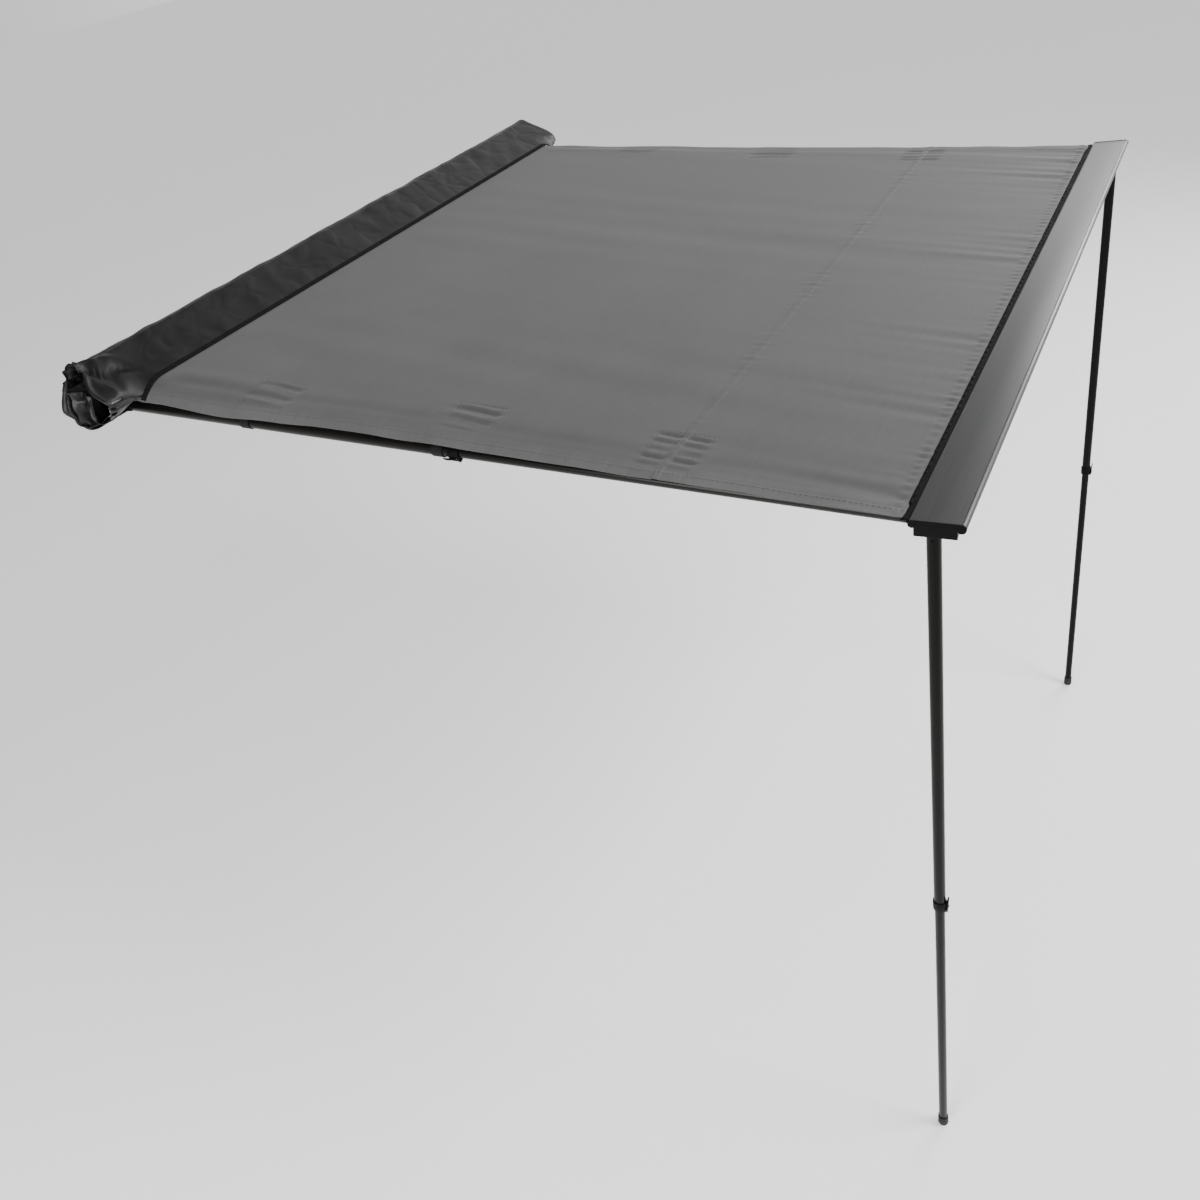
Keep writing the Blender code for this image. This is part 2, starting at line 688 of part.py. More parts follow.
def build_front_rail(shop):
    """The front rail with its caps, leg brackets, pegs and the sewn-in strip."""
    rail = shop.frame("front_rail_edge", (RAIL_X, 0, RAIL_TOP))
    mesh = prism("front_rail", [rail_outline()], WIDTH, ALONG_Y)
    shop.piece("front_rail", mesh, "anodised_grey", rail)
    bulb, half = 0.0022, STRIP_THICKNESS / 2
    neck = math.degrees(math.asin(half / bulb))
    slope = -0.001
    strip = [
        *arc((BEAD_X, -BEAD_RADIUS), bulb, -180 + neck, 180 - neck, 12),
        (-STRIP_WIDTH, -BEAD_RADIUS + half - slope),
        (-STRIP_WIDTH, -BEAD_RADIUS - half - slope),
    ]
    strip_mesh = prism("front_strip", [strip], WIDTH - 0.006, ALONG_Y)
    shop.piece("front_strip", strip_mesh, "webbing", rail)
    for side in SIDES:
        build_rail_cap(shop, side, rail)
        build_leg_bracket(shop, side, rail)
        build_peg(shop, side, rail)


def build_rail_cap(shop, side, rail):
    """An end cap that closes the rail's section and the leg channel."""
    name = f"rail_cap_{side}"
    proud, bottom = 0.0006, -0.0280
    outline = [
        *arc((LIP_X, -LIP_RADIUS), LIP_RADIUS + proud, 90, -118, 12),
        (FLANGE_OUT + 0.0003, -0.0120),
        (FLANGE_OUT + 0.0003, bottom),
        (FLANGE_IN - 0.0003, bottom),
        *arc((BEAD_X, -BEAD_RADIUS), BEAD_RADIUS + proud, -68, -270, 12),
    ]
    middle = SIDES[side] * (WIDTH / 2 + GAP + CAP_THICKNESS / 2)
    mesh = prism(name, [outline], CAP_THICKNESS, ALONG_Y, (0, middle, 0))
    shop.piece(name, mesh, "black_nylon", rail)


def build_leg_bracket(shop, side, rail):
    """The block in the rail's end that a leg folds in, and the leg's pin."""
    name = f"{side}_leg_bracket"
    sign = SIDES[side]
    end = WIDTH / 2 - GAP
    axis_y, axis_x = WIDTH / 2 - LEG_INSET, LEG_X[side]
    x_range = (FLANGE_IN + FLANGE_WALL + 0.0016, FLANGE_OUT - FLANGE_WALL - 0.0016)
    inward = axis_y - 0.010
    y_range = sorted((sign * end, sign * inward))
    z_range = (-0.0275, -RAIL_PLATE - GAP)
    bracket = shop.piece(name, block(name, x_range, y_range, z_range), "black_nylon", rail)
    slot_half = TONGUE_THICKNESS / 2 + 0.0003
    slot_y = sorted((sign * (axis_y + 0.0135), sign * (inward - 0.01)))
    slot_x = (axis_x - slot_half, axis_x + slot_half)
    slot_mesh = block(name + "_slot", slot_x, slot_y, (-0.04, -0.0048))
    boolean(bracket, shop.tool(slot_mesh, rail), "DIFFERENCE")
    # Beside the tongue's slot the block is cored, so that it has no thick part
    spare = [x for x in LEG_X.values() if x != axis_x][0]
    pocket_half = 0.0105
    pocket = block(
        name + "_pocket",
        (spare - pocket_half, spare + pocket_half),
        sorted((sign * (end - 0.012), sign * (inward - 0.01))),
        (-0.04, -0.0065),
    )
    boolean(bracket, shop.tool(pocket, rail), "DIFFERENCE")
    pin_at = (axis_x, sign * axis_y, -LEG_PIVOT_DROP)
    hole = rod(name + "_hole", PIN_RADIUS + GAP, 0.0245, ALONG_X, pin_at)
    boolean(bracket, shop.tool(hole, rail), "DIFFERENCE")
    pin = rod(f"{side}_leg_pin", PIN_RADIUS, 0.0235, ALONG_X, pin_at)
    shop.piece(f"{side}_leg_pin", pin, "zinc_steel", rail)


def build_peg(shop, side, rail):
    """The angle on the rail's inner flange, with the peg that an arm sits on."""
    name = f"{side}_arm_socket"
    sign = SIDES[side]
    tip_y = WIDTH / 2 - ARM_INSET
    top, bottom = -2 * BEAD_RADIUS - 0.0008, -0.0258
    sheet, face = 0.0018, FLANGE_IN - GAP
    ear_in, ear_out, foot_end = tip_y + 0.0045, tip_y + 0.0045 + sheet, WIDTH / 2 - 0.004
    outline = [
        (-0.0045, sign * ear_in),
        (face, sign * ear_in),
        (face, sign * foot_end),
        (face - sheet, sign * foot_end),
        (face - sheet, sign * ear_out),
        (-0.0045, sign * ear_out),
    ]
    mesh = prism(name, [outline], top - bottom, at=(0, 0, (top + bottom) / 2))
    angle = shop.piece(name, mesh, "zinc_steel", rail)
    peg_radius, peg_end = 0.0025, tip_y - 0.0050
    length = tip_y + 0.0060 - peg_end
    middle = (0.0005, sign * (peg_end + length / 2), -ARM_TIP_DROP)
    peg = rod(name + "_peg", peg_radius, length, ALONG_Y, middle, sides=16)
    boolean(angle, shop.tool(peg, rail), "UNION")


def build_leg(shop, side):
    """One telescopic leg: knuckle, two tubes, clamp and rubber foot."""
    sign = SIDES[side]
    at = (RAIL_X + LEG_X[side], sign * (WIDTH / 2 - LEG_INSET), RAIL_TOP - LEG_PIVOT_DROP)
    holder = shop.frame(f"{side}_leg_axis", at)
    down = Matrix((Vector((0, 0, -1)), Vector((0, 1, 0)), Vector((1, 0, 0)))).transposed().to_4x4()
    knuckle = shop.frame(f"{side}_leg_run", (0, 0, 0), down, holder)
    start = build_knuckle(shop, f"{side}_leg_knuckle", knuckle)
    length = at[2] - FLOOR_Z
    foot_floor = 0.008
    tube(shop, f"{side}_leg_outer_tube", OUTER_RADIUS, -LEG_CLAMP + GAP, -start, holder)
    inner_low, inner_high = -length + foot_floor + GAP, -LEG_CLAMP + TUBE_OVERLAP
    tube(shop, f"{side}_leg_inner_tube", INNER_RADIUS, inner_low, inner_high, holder)
    clamp = clamp_frame(shop, f"{side}_leg", holder, (0, 0, -LEG_CLAMP), (0, 0, 1), (1, 0, 0))
    build_clamp(shop, f"{side}_leg", clamp)
    build_foot(shop, f"{side}_leg_foot", holder, -length, foot_floor)


def build_foot(shop, name, holder, bottom, foot_floor):
    """A rubber foot that the inner tube stands in, with a round tread edge."""
    grip = INNER_RADIUS + GAP
    edge = 0.004
    points = [
        (0, foot_floor),
        (grip, foot_floor),
        (grip, FOOT_HEIGHT),
        (FOOT_RADIUS - 0.001, FOOT_HEIGHT),
        (FOOT_RADIUS, FOOT_HEIGHT - 0.001),
        *arc((FOOT_RADIUS - edge, edge), edge, 0, -90, 4),
        (0, 0),
    ]
    turned(shop, name, points, "rubber", holder, (0, 0, bottom))


def canopy_height(x, y):
    """The canopy's middle surface: taut, with drooping hems and a slight belly."""
    front_x, front_z = RAIL_X - STRIP_WIDTH - 0.0003, RAIL_TOP - BEAD_RADIUS + 0.001
    t = (x - CANOPY_BACK_X) / (front_x - CANOPY_BACK_X)
    plane = CANOPY_GROOVE_Z + t * (front_z - CANOPY_GROOVE_Z)
    reach = max(0.0, min(1.0, (RAIL_X - x) / REACH))
    tuck = max(0.0, min(1.0, (x - CANOPY_BACK_X) / (SEAM_X - CANOPY_BACK_X - 0.03)))
    slack = HEM_DROOP * (1 - math.exp(-3 * reach))
    bulge = HEM_BULGE * math.exp(-(((x - SEAM_X - 0.25) / 0.13) ** 2))
    droop = tuck**2 * (slack + bulge)
    edge = max(0.0, 1 - (WIDTH / 2 - abs(y)) / HEM_WIDTH) ** 1.8
    belly = BELLY * math.sin(math.pi * t) * math.cos(math.pi * y / WIDTH)
    return plane - droop * edge - belly


def spread(count, pull):
    """Places from -1 to 1 that crowd towards both ends."""
    places = []
    for i in range(count + 1):
        u = 2 * i / count - 1
        places.append((1 - pull) * u + pull * math.sin(math.pi / 2 * u))
    return places


def loft(name, rows, closed):
    """A surface through rows of points, closed round each row or left open."""
    shape = bmesh.new()
    made = [[shape.verts.new(p) for p in row] for row in rows]
    around = len(rows[0]) if closed else len(rows[0]) - 1
    for a, b in zip(made, made[1:]):
        for i in range(around):
            j = (i + 1) % len(a)
            shape.faces.new((a[i], a[j], b[j], b[i]))
    bmesh.ops.recalc_face_normals(shape, faces=shape.faces)
    mesh = bpy.data.meshes.new(name)
    shape.to_mesh(mesh)
    shape.free()
    return mesh


def thicken(target, thickness, offset=0.0):
    """Give an open surface the thickness of its cloth."""
    skin = target.modifiers.new("cloth", "SOLIDIFY")
    skin.thickness = thickness
    skin.offset = offset
    skin.use_even_offset = True


def build_canopy(shop):
    """The canopy cloth and the keder that holds its rear edge."""
    front_x = RAIL_X - STRIP_WIDTH - 0.0003
    rows = []
    for i in range(27):
        x = CANOPY_BACK_X + (front_x - CANOPY_BACK_X) * i / 26
        places = [v * (WIDTH / 2 - 0.001) for v in spread(20, 0.75)]
        rows.append([(x, y, canopy_height(x, y)) for y in places])
    canopy = shop.piece("canopy", loft("canopy", rows, closed=False), "canopy_cloth")
    thicken(canopy, CANOPY_THICKNESS)
    keder_at = (BOARD_DEPTH - 0.0042, 0, CANOPY_GROOVE_Z)
    keder = rod("canopy_keder", 0.0023, WIDTH - 0.004, ALONG_Y, keder_at, sides=12)
    shop.piece("canopy_keder", keder, "webbing")


def bag_top_path():
    """The upper panel's path, from the rear groove over the ridge to the seam."""
    seam_z = canopy_height(SEAM_X, 0) + 0.0036
    return [
        (-0.0022, BAG_GROOVE_Z - 0.001),
        (-0.0040, BAG_GROOVE_Z + 0.004),
        *arc(BAG_RIDGE, BAG_RIDGE_RADIUS, 178, 60, 9),
        (0.090, 0.0690),
        (0.130, 0.0450),
        (SEAM_X, seam_z),
    ]


def bag_end_section():
    """The end pouch's closed section: the backboard, arms and rolled cloth fit in it."""
    return [
        *arc(BAG_RIDGE, BAG_RIDGE_RADIUS, 178, 60, 7),
        (0.110, 0.0570),
        (0.150, 0.0310),
        (0.158, 0.0120),
        (0.140, -0.0060),
        (0.100, -0.0250),
        (0.062, -0.0440),
        (0.030, -0.0570),
        (0.006, -0.0560),
        (-0.006, -0.0350),
        (-0.007, 0.0100),
    ]


def bag_end_length(x, z):
    """How far the pouch's mouth stands out at a point of its section.

    The mouth has two lobes: one hangs over the front, and one is at the back.
    """
    around = math.atan2(z - BAG_MIDDLE[1], x - BAG_MIDDLE[0]) - math.radians(BAG_LOBE_ANGLE)
    return BAG_END_LENGTH + BAG_END_LOBES * math.cos(2 * around)


def build_bag(shop):
    """The bag, unzipped: upper panel, tucked lower panel and two end pouches."""
    half = WIDTH / 2
    path = bag_top_path()
    stations = [half * v for v in spread(8, 0.0)]
    rows = [[(x, y, z) for x, z in path] for y in stations]
    top = shop.piece("bag_top_panel", loft("bag_top_panel", rows, closed=False), "bag_cloth")
    thicken(top, BAG_THICKNESS)
    under = -BOARD_HEIGHT / 2 - 0.0035
    lower = [
        (-0.0022, -BAG_GROOVE_Z + 0.001),
        (-0.0030, under + 0.003),
        (-0.0005, under),
        (0.016, under - 0.001),
        (0.030, under - 0.0005),
    ]
    rows = [[(x, y, z) for x, z in lower] for y in stations]
    bottom = shop.piece("bag_lower_panel", loft("bag_lower_panel", rows, closed=False), "bag_cloth")
    thicken(bottom, BAG_THICKNESS)
    stretch = {"near": 1.0, "far": 0.5}
    for side, sign in SIDES.items():
        start = half + 2 * GAP + CAP_THICKNESS + 0.001
        rows = []
        for share in (0.0, 0.33, 0.67, 1.0):
            row = []
            for x, z in bag_end_section():
                y = sign * (start + share * stretch[side] * bag_end_length(x, z))
                row.append((x, y, z))
            rows.append(row)
        name = f"bag_end_{side}"
        end = shop.piece(name, loft(name, rows, closed=True), "bag_cloth")
        thicken(end, BAG_THICKNESS)


def main():
    """Build the whole awning."""
    remove_everything()
    shop = Workshop()
    build_backboard(shop)
    build_canopy(shop)
    build_bag(shop)
    build_front_rail(shop)
    for side in SIDES:
        build_arm(shop, side)
        build_leg(shop, side)


main()
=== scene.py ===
"""Finished look of the pull-out side awning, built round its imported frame.

Metres, +Z up, in the frame's own axes: X points away from the vehicle, Y runs
along it with the near end at -Y, and the origin is the backboard's rear face.
"""

import json
import logging
import math
import random
from dataclasses import dataclass
from enum import Enum
from typing import Any, Iterable, Sequence

import bmesh
import bpy
import numpy as np
from mathutils import Euler, Matrix, Vector, noise


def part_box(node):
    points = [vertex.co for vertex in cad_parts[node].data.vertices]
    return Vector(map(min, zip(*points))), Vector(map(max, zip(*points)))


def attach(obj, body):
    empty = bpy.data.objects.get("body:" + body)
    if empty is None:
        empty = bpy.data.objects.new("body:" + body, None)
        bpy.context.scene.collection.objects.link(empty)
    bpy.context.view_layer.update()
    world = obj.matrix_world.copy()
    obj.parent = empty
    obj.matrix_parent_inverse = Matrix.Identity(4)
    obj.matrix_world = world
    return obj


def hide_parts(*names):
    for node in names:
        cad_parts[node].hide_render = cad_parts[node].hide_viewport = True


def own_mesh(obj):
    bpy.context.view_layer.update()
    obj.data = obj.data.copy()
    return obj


Tree, Node, Socket = bpy.types.NodeTree, bpy.types.Node, bpy.types.NodeSocket
Mesh, Material, Piece = bpy.types.Mesh, bpy.types.Material, bpy.types.Object
Point = tuple[float, float]

LOG = logging.getLogger("side_awning")
MIX_A, MIX_B, MIX_OUT = 6, 7, 2  # colour sockets of a Mix node
RANDOM_MIN, RANDOM_MAX, RANDOM_OUT = 2, 3, 1  # decimal sockets of a Random Value node
WAVE_TURN = 20 / (2 * math.pi)  # a Wave texture's bands for each unit of scale
MM = 1000  # millimetres in a metre
SHADE_BREAK = math.radians(38)  # faces that meet at more than this keep a sharp edge

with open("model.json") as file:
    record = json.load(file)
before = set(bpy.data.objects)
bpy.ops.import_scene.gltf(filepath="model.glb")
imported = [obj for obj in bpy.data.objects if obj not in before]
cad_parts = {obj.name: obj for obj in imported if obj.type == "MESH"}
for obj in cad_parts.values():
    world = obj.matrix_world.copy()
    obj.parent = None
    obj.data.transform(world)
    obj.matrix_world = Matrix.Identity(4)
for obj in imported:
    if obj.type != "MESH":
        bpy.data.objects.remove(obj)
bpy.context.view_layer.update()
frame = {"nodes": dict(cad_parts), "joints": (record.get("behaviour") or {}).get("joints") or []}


class Side(Enum):
    """The two ends of the awning."""

    NEAR = -1.0
    FAR = 1.0

    @property
    def word(self) -> str:
        """The side's name as the nodes spell it."""
        return self.name.lower()


class Coords(Enum):
    """What a finish reads its pattern's place from."""

    OBJECT = "Object"
    CLOTH = "UV"


def add(tree: Tree, kind: str, inputs: dict | None = None, **settings: Any) -> Node:
    """Add a node with its settings, values and links.

    Args:
        tree: the material's or geometry group's tree.
        kind: the node's type.
        inputs: by input name or number, a value or the socket that feeds it.
        settings: the node's own properties.

    Returns:
        The new node.
    """
    node = tree.nodes.new(kind)
    for name, value in settings.items():
        setattr(node, name, value)
    for key, value in (inputs or {}).items():
        if isinstance(value, Socket):
            tree.links.new(value, node.inputs[key])
        else:
            node.inputs[key].default_value = value
    return node


def linear(colour: str) -> tuple[float, float, float, float]:
    """Turn an sRGB hex colour to the linear one that shaders take.

    Args:
        colour: six hex digits.

    Returns:
        Red, green, blue and an alpha of 1.
    """
    parts = [int(colour[i : i + 2], 16) / 255 for i in (0, 2, 4)]
    values = [c / 12.92 if c <= 0.04045 else ((c + 0.055) / 1.055) ** 2.4 for c in parts]
    return (*values, 1.0)


# Finishes


@dataclass(frozen=True)
class Finish:
    """A real surface: two shades that it drifts between, its gloss and its relief."""

    name: str
    light: str
    dark: str
    gloss: Point  # roughness where it is smoothest and roughest
    metallic: float = 0.0
    mottle_mm: float = 90.0  # size of the slow drift between the two shades
    grain_mm: float = 1.6  # size of the fine grain
    relief_mm: float = 0.06
    stretch: tuple[float, float, float] = (1.0, 1.0, 1.0)  # below 1 draws the grain out
    coords: Coords = Coords.OBJECT
    fixed: tuple[tuple[str, float], ...] = ()  # values on the shader's own sockets

    def place(self, tree: Tree) -> Socket:
        """The pattern's coordinates in metres, drawn out along the grain."""
        source = add(tree, "ShaderNodeTexCoord").outputs[self.coords.value]
        mapping = add(tree, "ShaderNodeMapping", {"Vector": source, "Scale": self.stretch})
        return mapping.outputs["Vector"]

    def relief(self, tree: Tree, place: Socket) -> Socket:
        """The height of the fine surface, 0 to 1."""
        grain = add(
            tree,
            "ShaderNodeTexNoise",
            {"Vector": place, "Scale": MM / self.grain_mm, "Detail": 3.0, "Roughness": 0.6},
        )
        return grain.outputs["Fac"]

    def wear(self, tree: Tree, place: Socket, height: Socket) -> Socket:
        """How much lighter or darker than its shade the surface is painted, on the relief's high
        and low places.
        """
        height_tone = add(
            tree,
            "ShaderNodeMapRange",
            {"Value": height, "From Min": 0.2, "From Max": 0.8, "To Min": 0.88, "To Max": 1.08},
        )
        return height_tone.outputs["Result"]

    def make(self) -> Material:
        """Build the material's nodes.

        Returns:
            The finished material.
        """
        material = bpy.data.materials.new(self.name)
        material.use_nodes = True
        tree = material.node_tree
        shader = tree.nodes["Principled BSDF"]
        place = self.place(tree)
        mottle = add(
            tree,
            "ShaderNodeTexNoise",
            {"Vector": place, "Scale": MM / self.mottle_mm, "Detail": 5.0, "Roughness": 0.55},
        ).outputs["Fac"]
        height = self.relief(tree, place)
        spread = {"Value": mottle, "From Min": 0.32, "From Max": 0.68}
        drift = add(tree, "ShaderNodeMapRange", spread)
        shade = add(
            tree,
            "ShaderNodeMix",
            {0: drift.outputs["Result"], MIX_A: linear(self.dark), MIX_B: linear(self.light)},
            data_type="RGBA",
        )
        tinted = add(
            tree,
            "ShaderNodeMix",
            {0: 1.0, MIX_A: shade.outputs[MIX_OUT], MIX_B: self.wear(tree, place, height)},
            data_type="RGBA",
            blend_type="MULTIPLY",
        )
        low, high = self.gloss
        rough = add(
            tree,
            "ShaderNodeMapRange",
            {"Value": mottle, "From Min": 0.3, "From Max": 0.7, "To Min": low, "To Max": high},
        )
        depth = self.relief_mm / MM
        bump = add(tree, "ShaderNodeBump", {"Height": height, "Strength": 1.0, "Distance": depth})
        tree.links.new(tinted.outputs[MIX_OUT], shader.inputs["Base Color"])
        tree.links.new(rough.outputs["Result"], shader.inputs["Roughness"])
        tree.links.new(bump.outputs["Normal"], shader.inputs["Normal"])
        shader.inputs["Metallic"].default_value = self.metallic
        for socket, value in self.fixed:
            shader.inputs[socket].default_value = value
        return material


@dataclass(frozen=True)
class WovenFinish(Finish):
    """Woven cloth: warp and weft cross, with thicker threads here and there, and side hems painted
    lighter as a highlight.
    """

    thread_mm: float = 3.0
    hem_at: float = 1.0  # from the cloth's middle to its side hems, in metres
    hem_shade: float = 1.0  # how much lighter they are painted, a highlight standing in for the light on their rolled edges
    hem_band: Point = (0.050, 0.016)  # in from the cloth's edge: the painted highlight begins, and is full

    def wear(self, tree: Tree, place: Socket, height: Socket) -> Socket:
        """The factor on the shade, by the relief's height, with a painted highlight that lightens
        both side hems.

        Args:
            tree: the material's tree.
            place: the cloth's coordinates, with Y across it.
            height: the fine surface.

        Returns:
            The factor on the cloth's shade.
        """
        height_tone = super().wear(tree, place, height)
        across = add(tree, "ShaderNodeSeparateXYZ", {0: place}).outputs["Y"]
        middle = add(tree, "ShaderNodeMath", {0: across, 1: self.hem_at}, operation="SUBTRACT")
        out = add(tree, "ShaderNodeMath", {0: middle.outputs[0]}, operation="ABSOLUTE")
        # Painted highlight: both side hems are made lighter, standing in for the light that their
        # rolled edges catch
        begins, full = (self.hem_at - inset for inset in self.hem_band)
        painted_hem = add(
            tree,
            "ShaderNodeMapRange",
            {
                "Value": out.outputs[0],
                "From Min": begins, "From Max": full, "To Min": 1.0, "To Max": self.hem_shade,
            },
            interpolation_type="SMOOTHSTEP",
        )
        factors = {0: height_tone, 1: painted_hem.outputs["Result"]}
        return add(tree, "ShaderNodeMath", factors, operation="MULTIPLY").outputs[0]

    def relief(self, tree: Tree, place: Socket) -> Socket:
        """Warp and weft bands, roughened by slubs.

        Args:
            tree: the material's tree.
            place: the cloth's coordinates.

        Returns:
            The height of the fine surface.
        """
        threads = {
            "Vector": place, "Scale": MM / self.thread_mm / WAVE_TURN,
            "Distortion": 0.6, "Detail": 1.0, "Detail Scale": 1.5,
        }
        warp, weft = (
            add(tree, "ShaderNodeTexWave", threads, bands_direction=way).outputs["Fac"]
            for way in ("X", "Y")
        )
        cross = add(tree, "ShaderNodeMath", {0: warp, 1: weft}, operation="MULTIPLY")
        drawn = add(tree, "ShaderNodeMapping", {"Vector": place, "Scale": (1.0, 0.14, 1.0)})
        slubs = add(
            tree,
            "ShaderNodeTexNoise",
            {
                "Vector": drawn.outputs["Vector"], "Scale": MM / self.grain_mm,
                "Detail": 2.0, "Roughness": 0.5,
            },
        )
        mixed = add(
            tree,
            "ShaderNodeMath",
            {0: cross.outputs[0], 1: 0.55, 2: slubs.outputs["Fac"]},
            operation="MULTIPLY_ADD",
        )
        return mixed.outputs[0]


@dataclass(frozen=True)
class CreasedFinish(Finish):
    """Coated heavy cloth that keeps the creases of being rolled up."""

    crease_mm: float = 60.0

    def relief(self, tree: Tree, place: Socket) -> Socket:
        """Sharp creases between flat fields, over a fine grain.

        Args:
            tree: the material's tree.
            place: the cloth's coordinates.

        Returns:
            The height of the surface.
        """
        scale = MM / self.crease_mm
        bent = add(
            tree, "ShaderNodeTexNoise", {"Vector": place, "Scale": 0.6 * scale, "Detail": 2.0}
        )
        moved = add(
            tree,
            "ShaderNodeVectorMath",
            {0: bent.outputs["Color"], 1: (0.05, 0.05, 0.05), 2: place},
            operation="MULTIPLY_ADD",
        )
        cells = add(
            tree,
            "ShaderNodeTexVoronoi",
            {"Vector": moved.outputs[0], "Scale": scale},
            feature="DISTANCE_TO_EDGE",
        )
        folds = add(
            tree,
            "ShaderNodeMapRange",
            {"Value": cells.outputs["Distance"], "From Max": 0.25, "To Max": 0.7},
            interpolation_type="SMOOTHSTEP",
        )
        grain = add(
            tree,
            "ShaderNodeTexNoise",
            {"Vector": place, "Scale": MM / self.grain_mm, "Detail": 2.0},
        )
        mixed = add(
            tree,
            "ShaderNodeMath",
            {0: grain.outputs["Fac"], 1: 0.3, 2: folds.outputs["Result"]},
            operation="MULTIPLY_ADD",
        )
        return mixed.outputs[0]


@dataclass(frozen=True)
class RibbedFinish(Finish):
    """Narrow webbing: ribs across it, each a turn of the weft."""

    rib_mm: float = 2.0
    direction: str = "X"

    def relief(self, tree: Tree, place: Socket) -> Socket:
        """Ribs with a slight wander."""
        scale = MM / self.rib_mm / WAVE_TURN
        ribs = add(
            tree,
            "ShaderNodeTexWave",
            {"Vector": place, "Scale": scale, "Distortion": 1.2, "Detail": 2.0},
            bands_direction=self.direction,
        )
        return ribs.outputs["Fac"]


@dataclass(frozen=True)
class Finishes:
    """Every finish on the awning and in the studio."""

    canopy: Material
    bag: Material
    webbing: Material
    tape: Material
    thread: Material
    dark_thread: Material
    extrusion: Material
    arm_tube: Material
    leg_tube: Material
    nylon: Material
    rubber: Material
    zinc: Material
    zip_metal: Material
    paper: Material

    @classmethod
    def make(cls) -> "Finishes":
        """Mix every material.

        Returns:
            The set of materials.
        """
        return cls(
            # Polycotton canvas, proofed: matt, a little uneven in shade, and painted lighter
            # along its side hems as a highlight for their rolled edges. Its half-millimetre
            # threads are drawn six times too coarse, so that the weave shows
            canopy=WovenFinish(
                "proofed_polycotton_canvas", "414141", "393939", (0.62, 0.78), mottle_mm=260.0,
                grain_mm=9.0, relief_mm=0.16, coords=Coords.CLOTH, hem_shade=1.55,
                fixed=(("Sheen Weight", 0.1), ("Specular IOR Level", 0.32)),
            ).make(),
            # Vinyl-coated polyester: dark with a soft shine that breaks up over its creases
            bag=CreasedFinish(
                "vinyl_coated_polyester", "0F0F10", "060607", (0.36, 0.54), mottle_mm=70.0,
                grain_mm=2.5, relief_mm=0.9, crease_mm=70.0, coords=Coords.CLOTH,
                fixed=(("Specular IOR Level", 0.32),),
            ).make(),
            # Polypropylene webbing, ribbed across, with a faint shine on each rib
            webbing=RibbedFinish(
                "ribbed_webbing", "1A1A1A", "121212", (0.6, 0.75), mottle_mm=15.0, relief_mm=0.35,
                rib_mm=2.4, coords=Coords.CLOTH, fixed=(("Specular IOR Level", 0.15),),
            ).make(),
            # Binding tape along the seams, flat and matt
            tape=RibbedFinish(
                "binding_tape", "171717", "0D0D0D", (0.7, 0.9), mottle_mm=20.0, relief_mm=0.25,
                rib_mm=3.0, coords=Coords.CLOTH, fixed=(("Specular IOR Level", 0.06),),
            ).make(),
            # Bonded polyester thread, lighter than the canvas
            thread=RibbedFinish(
                "bonded_polyester_thread", "505050", "444444", (0.5, 0.6), mottle_mm=8.0,
                relief_mm=0.12, rib_mm=1.2, direction="DIAGONAL",
            ).make(),
            # The same thread dyed black, dull, along the front strip
            dark_thread=RibbedFinish(
                "black_bonded_thread", "0C0C0C", "050505", (0.6, 0.75), mottle_mm=8.0,
                relief_mm=0.12, rib_mm=1.2, direction="DIAGONAL",
                fixed=(("Specular IOR Level", 0.08),),
            ).make(),
            # Extruded aluminium, satin anodised: faint die lines run its whole length
            extrusion=Finish(
                "satin_anodised_extrusion", "585858", "505050", (0.32, 0.40), metallic=0.85,
                mottle_mm=160.0, grain_mm=1.8, relief_mm=0.012, stretch=(1.0, 0.012, 1.0),
            ).make(),
            # Drawn aluminium tube, black anodised: draw lines along the tube, rubbed by the clamp
            arm_tube=Finish(
                "black_anodised_tube_lengthwise", "171613", "0F0E0C", (0.24, 0.34), metallic=0.25,
                mottle_mm=40.0, grain_mm=1.6, relief_mm=0.012, stretch=(0.02, 1.0, 1.0),
                fixed=(("Specular IOR Level", 0.25),),
            ).make(),
            # The same tube upright, its lines running down, painted a shade deeper as painted
            # shade on the legs' near side, which the lights barely reach
            leg_tube=Finish(
                "black_anodised_tube_upright", "090806", "050403", (0.26, 0.34), metallic=0.05,
                mottle_mm=40.0, grain_mm=1.6, relief_mm=0.012, stretch=(1.0, 1.0, 0.02),
                fixed=(("Specular IOR Level", 0.10),),
            ).make(),
            # Glass-filled nylon, moulded with a spark-eroded grain drawn coarser to show
            nylon=Finish(
                "moulded_black_nylon", "050505", "030303", (0.46, 0.6), mottle_mm=25.0,
                grain_mm=1.1, relief_mm=0.05, fixed=(("Specular IOR Level", 0.08),),
            ).make(),
            # Moulded rubber, matt and faintly dusty
            rubber=Finish(
                "moulded_rubber", "1F1E1D", "141413", (0.75, 0.9), mottle_mm=14.0, grain_mm=1.4,
                relief_mm=0.08,
            ).make(),
            # Zinc plate on steel, bright with a cloudy bloom
            zinc=Finish(
                "zinc_plated_steel", "ABABA6", "8A8A86", (0.24, 0.42), metallic=1.0, mottle_mm=7.0,
                grain_mm=1.2, relief_mm=0.01,
            ).make(),
            # Nickel-plated brass teeth of a zip
            zip_metal=Finish(
                "nickel_plated_zip", "B4B2AC", "96948E", (0.2, 0.34), metallic=1.0, mottle_mm=6.0,
                grain_mm=0.8, relief_mm=0.01,
            ).make(),
            # Studio floor: matt white sheet
            paper=Finish(
                "matt_studio_sheet", "FAFAFA", "F8F8F8", (0.8, 0.9), mottle_mm=900.0, grain_mm=4.0,
                relief_mm=0.05, fixed=(("Emission Strength", 0.3),),
            ).make(),
        )


# Mesh tools


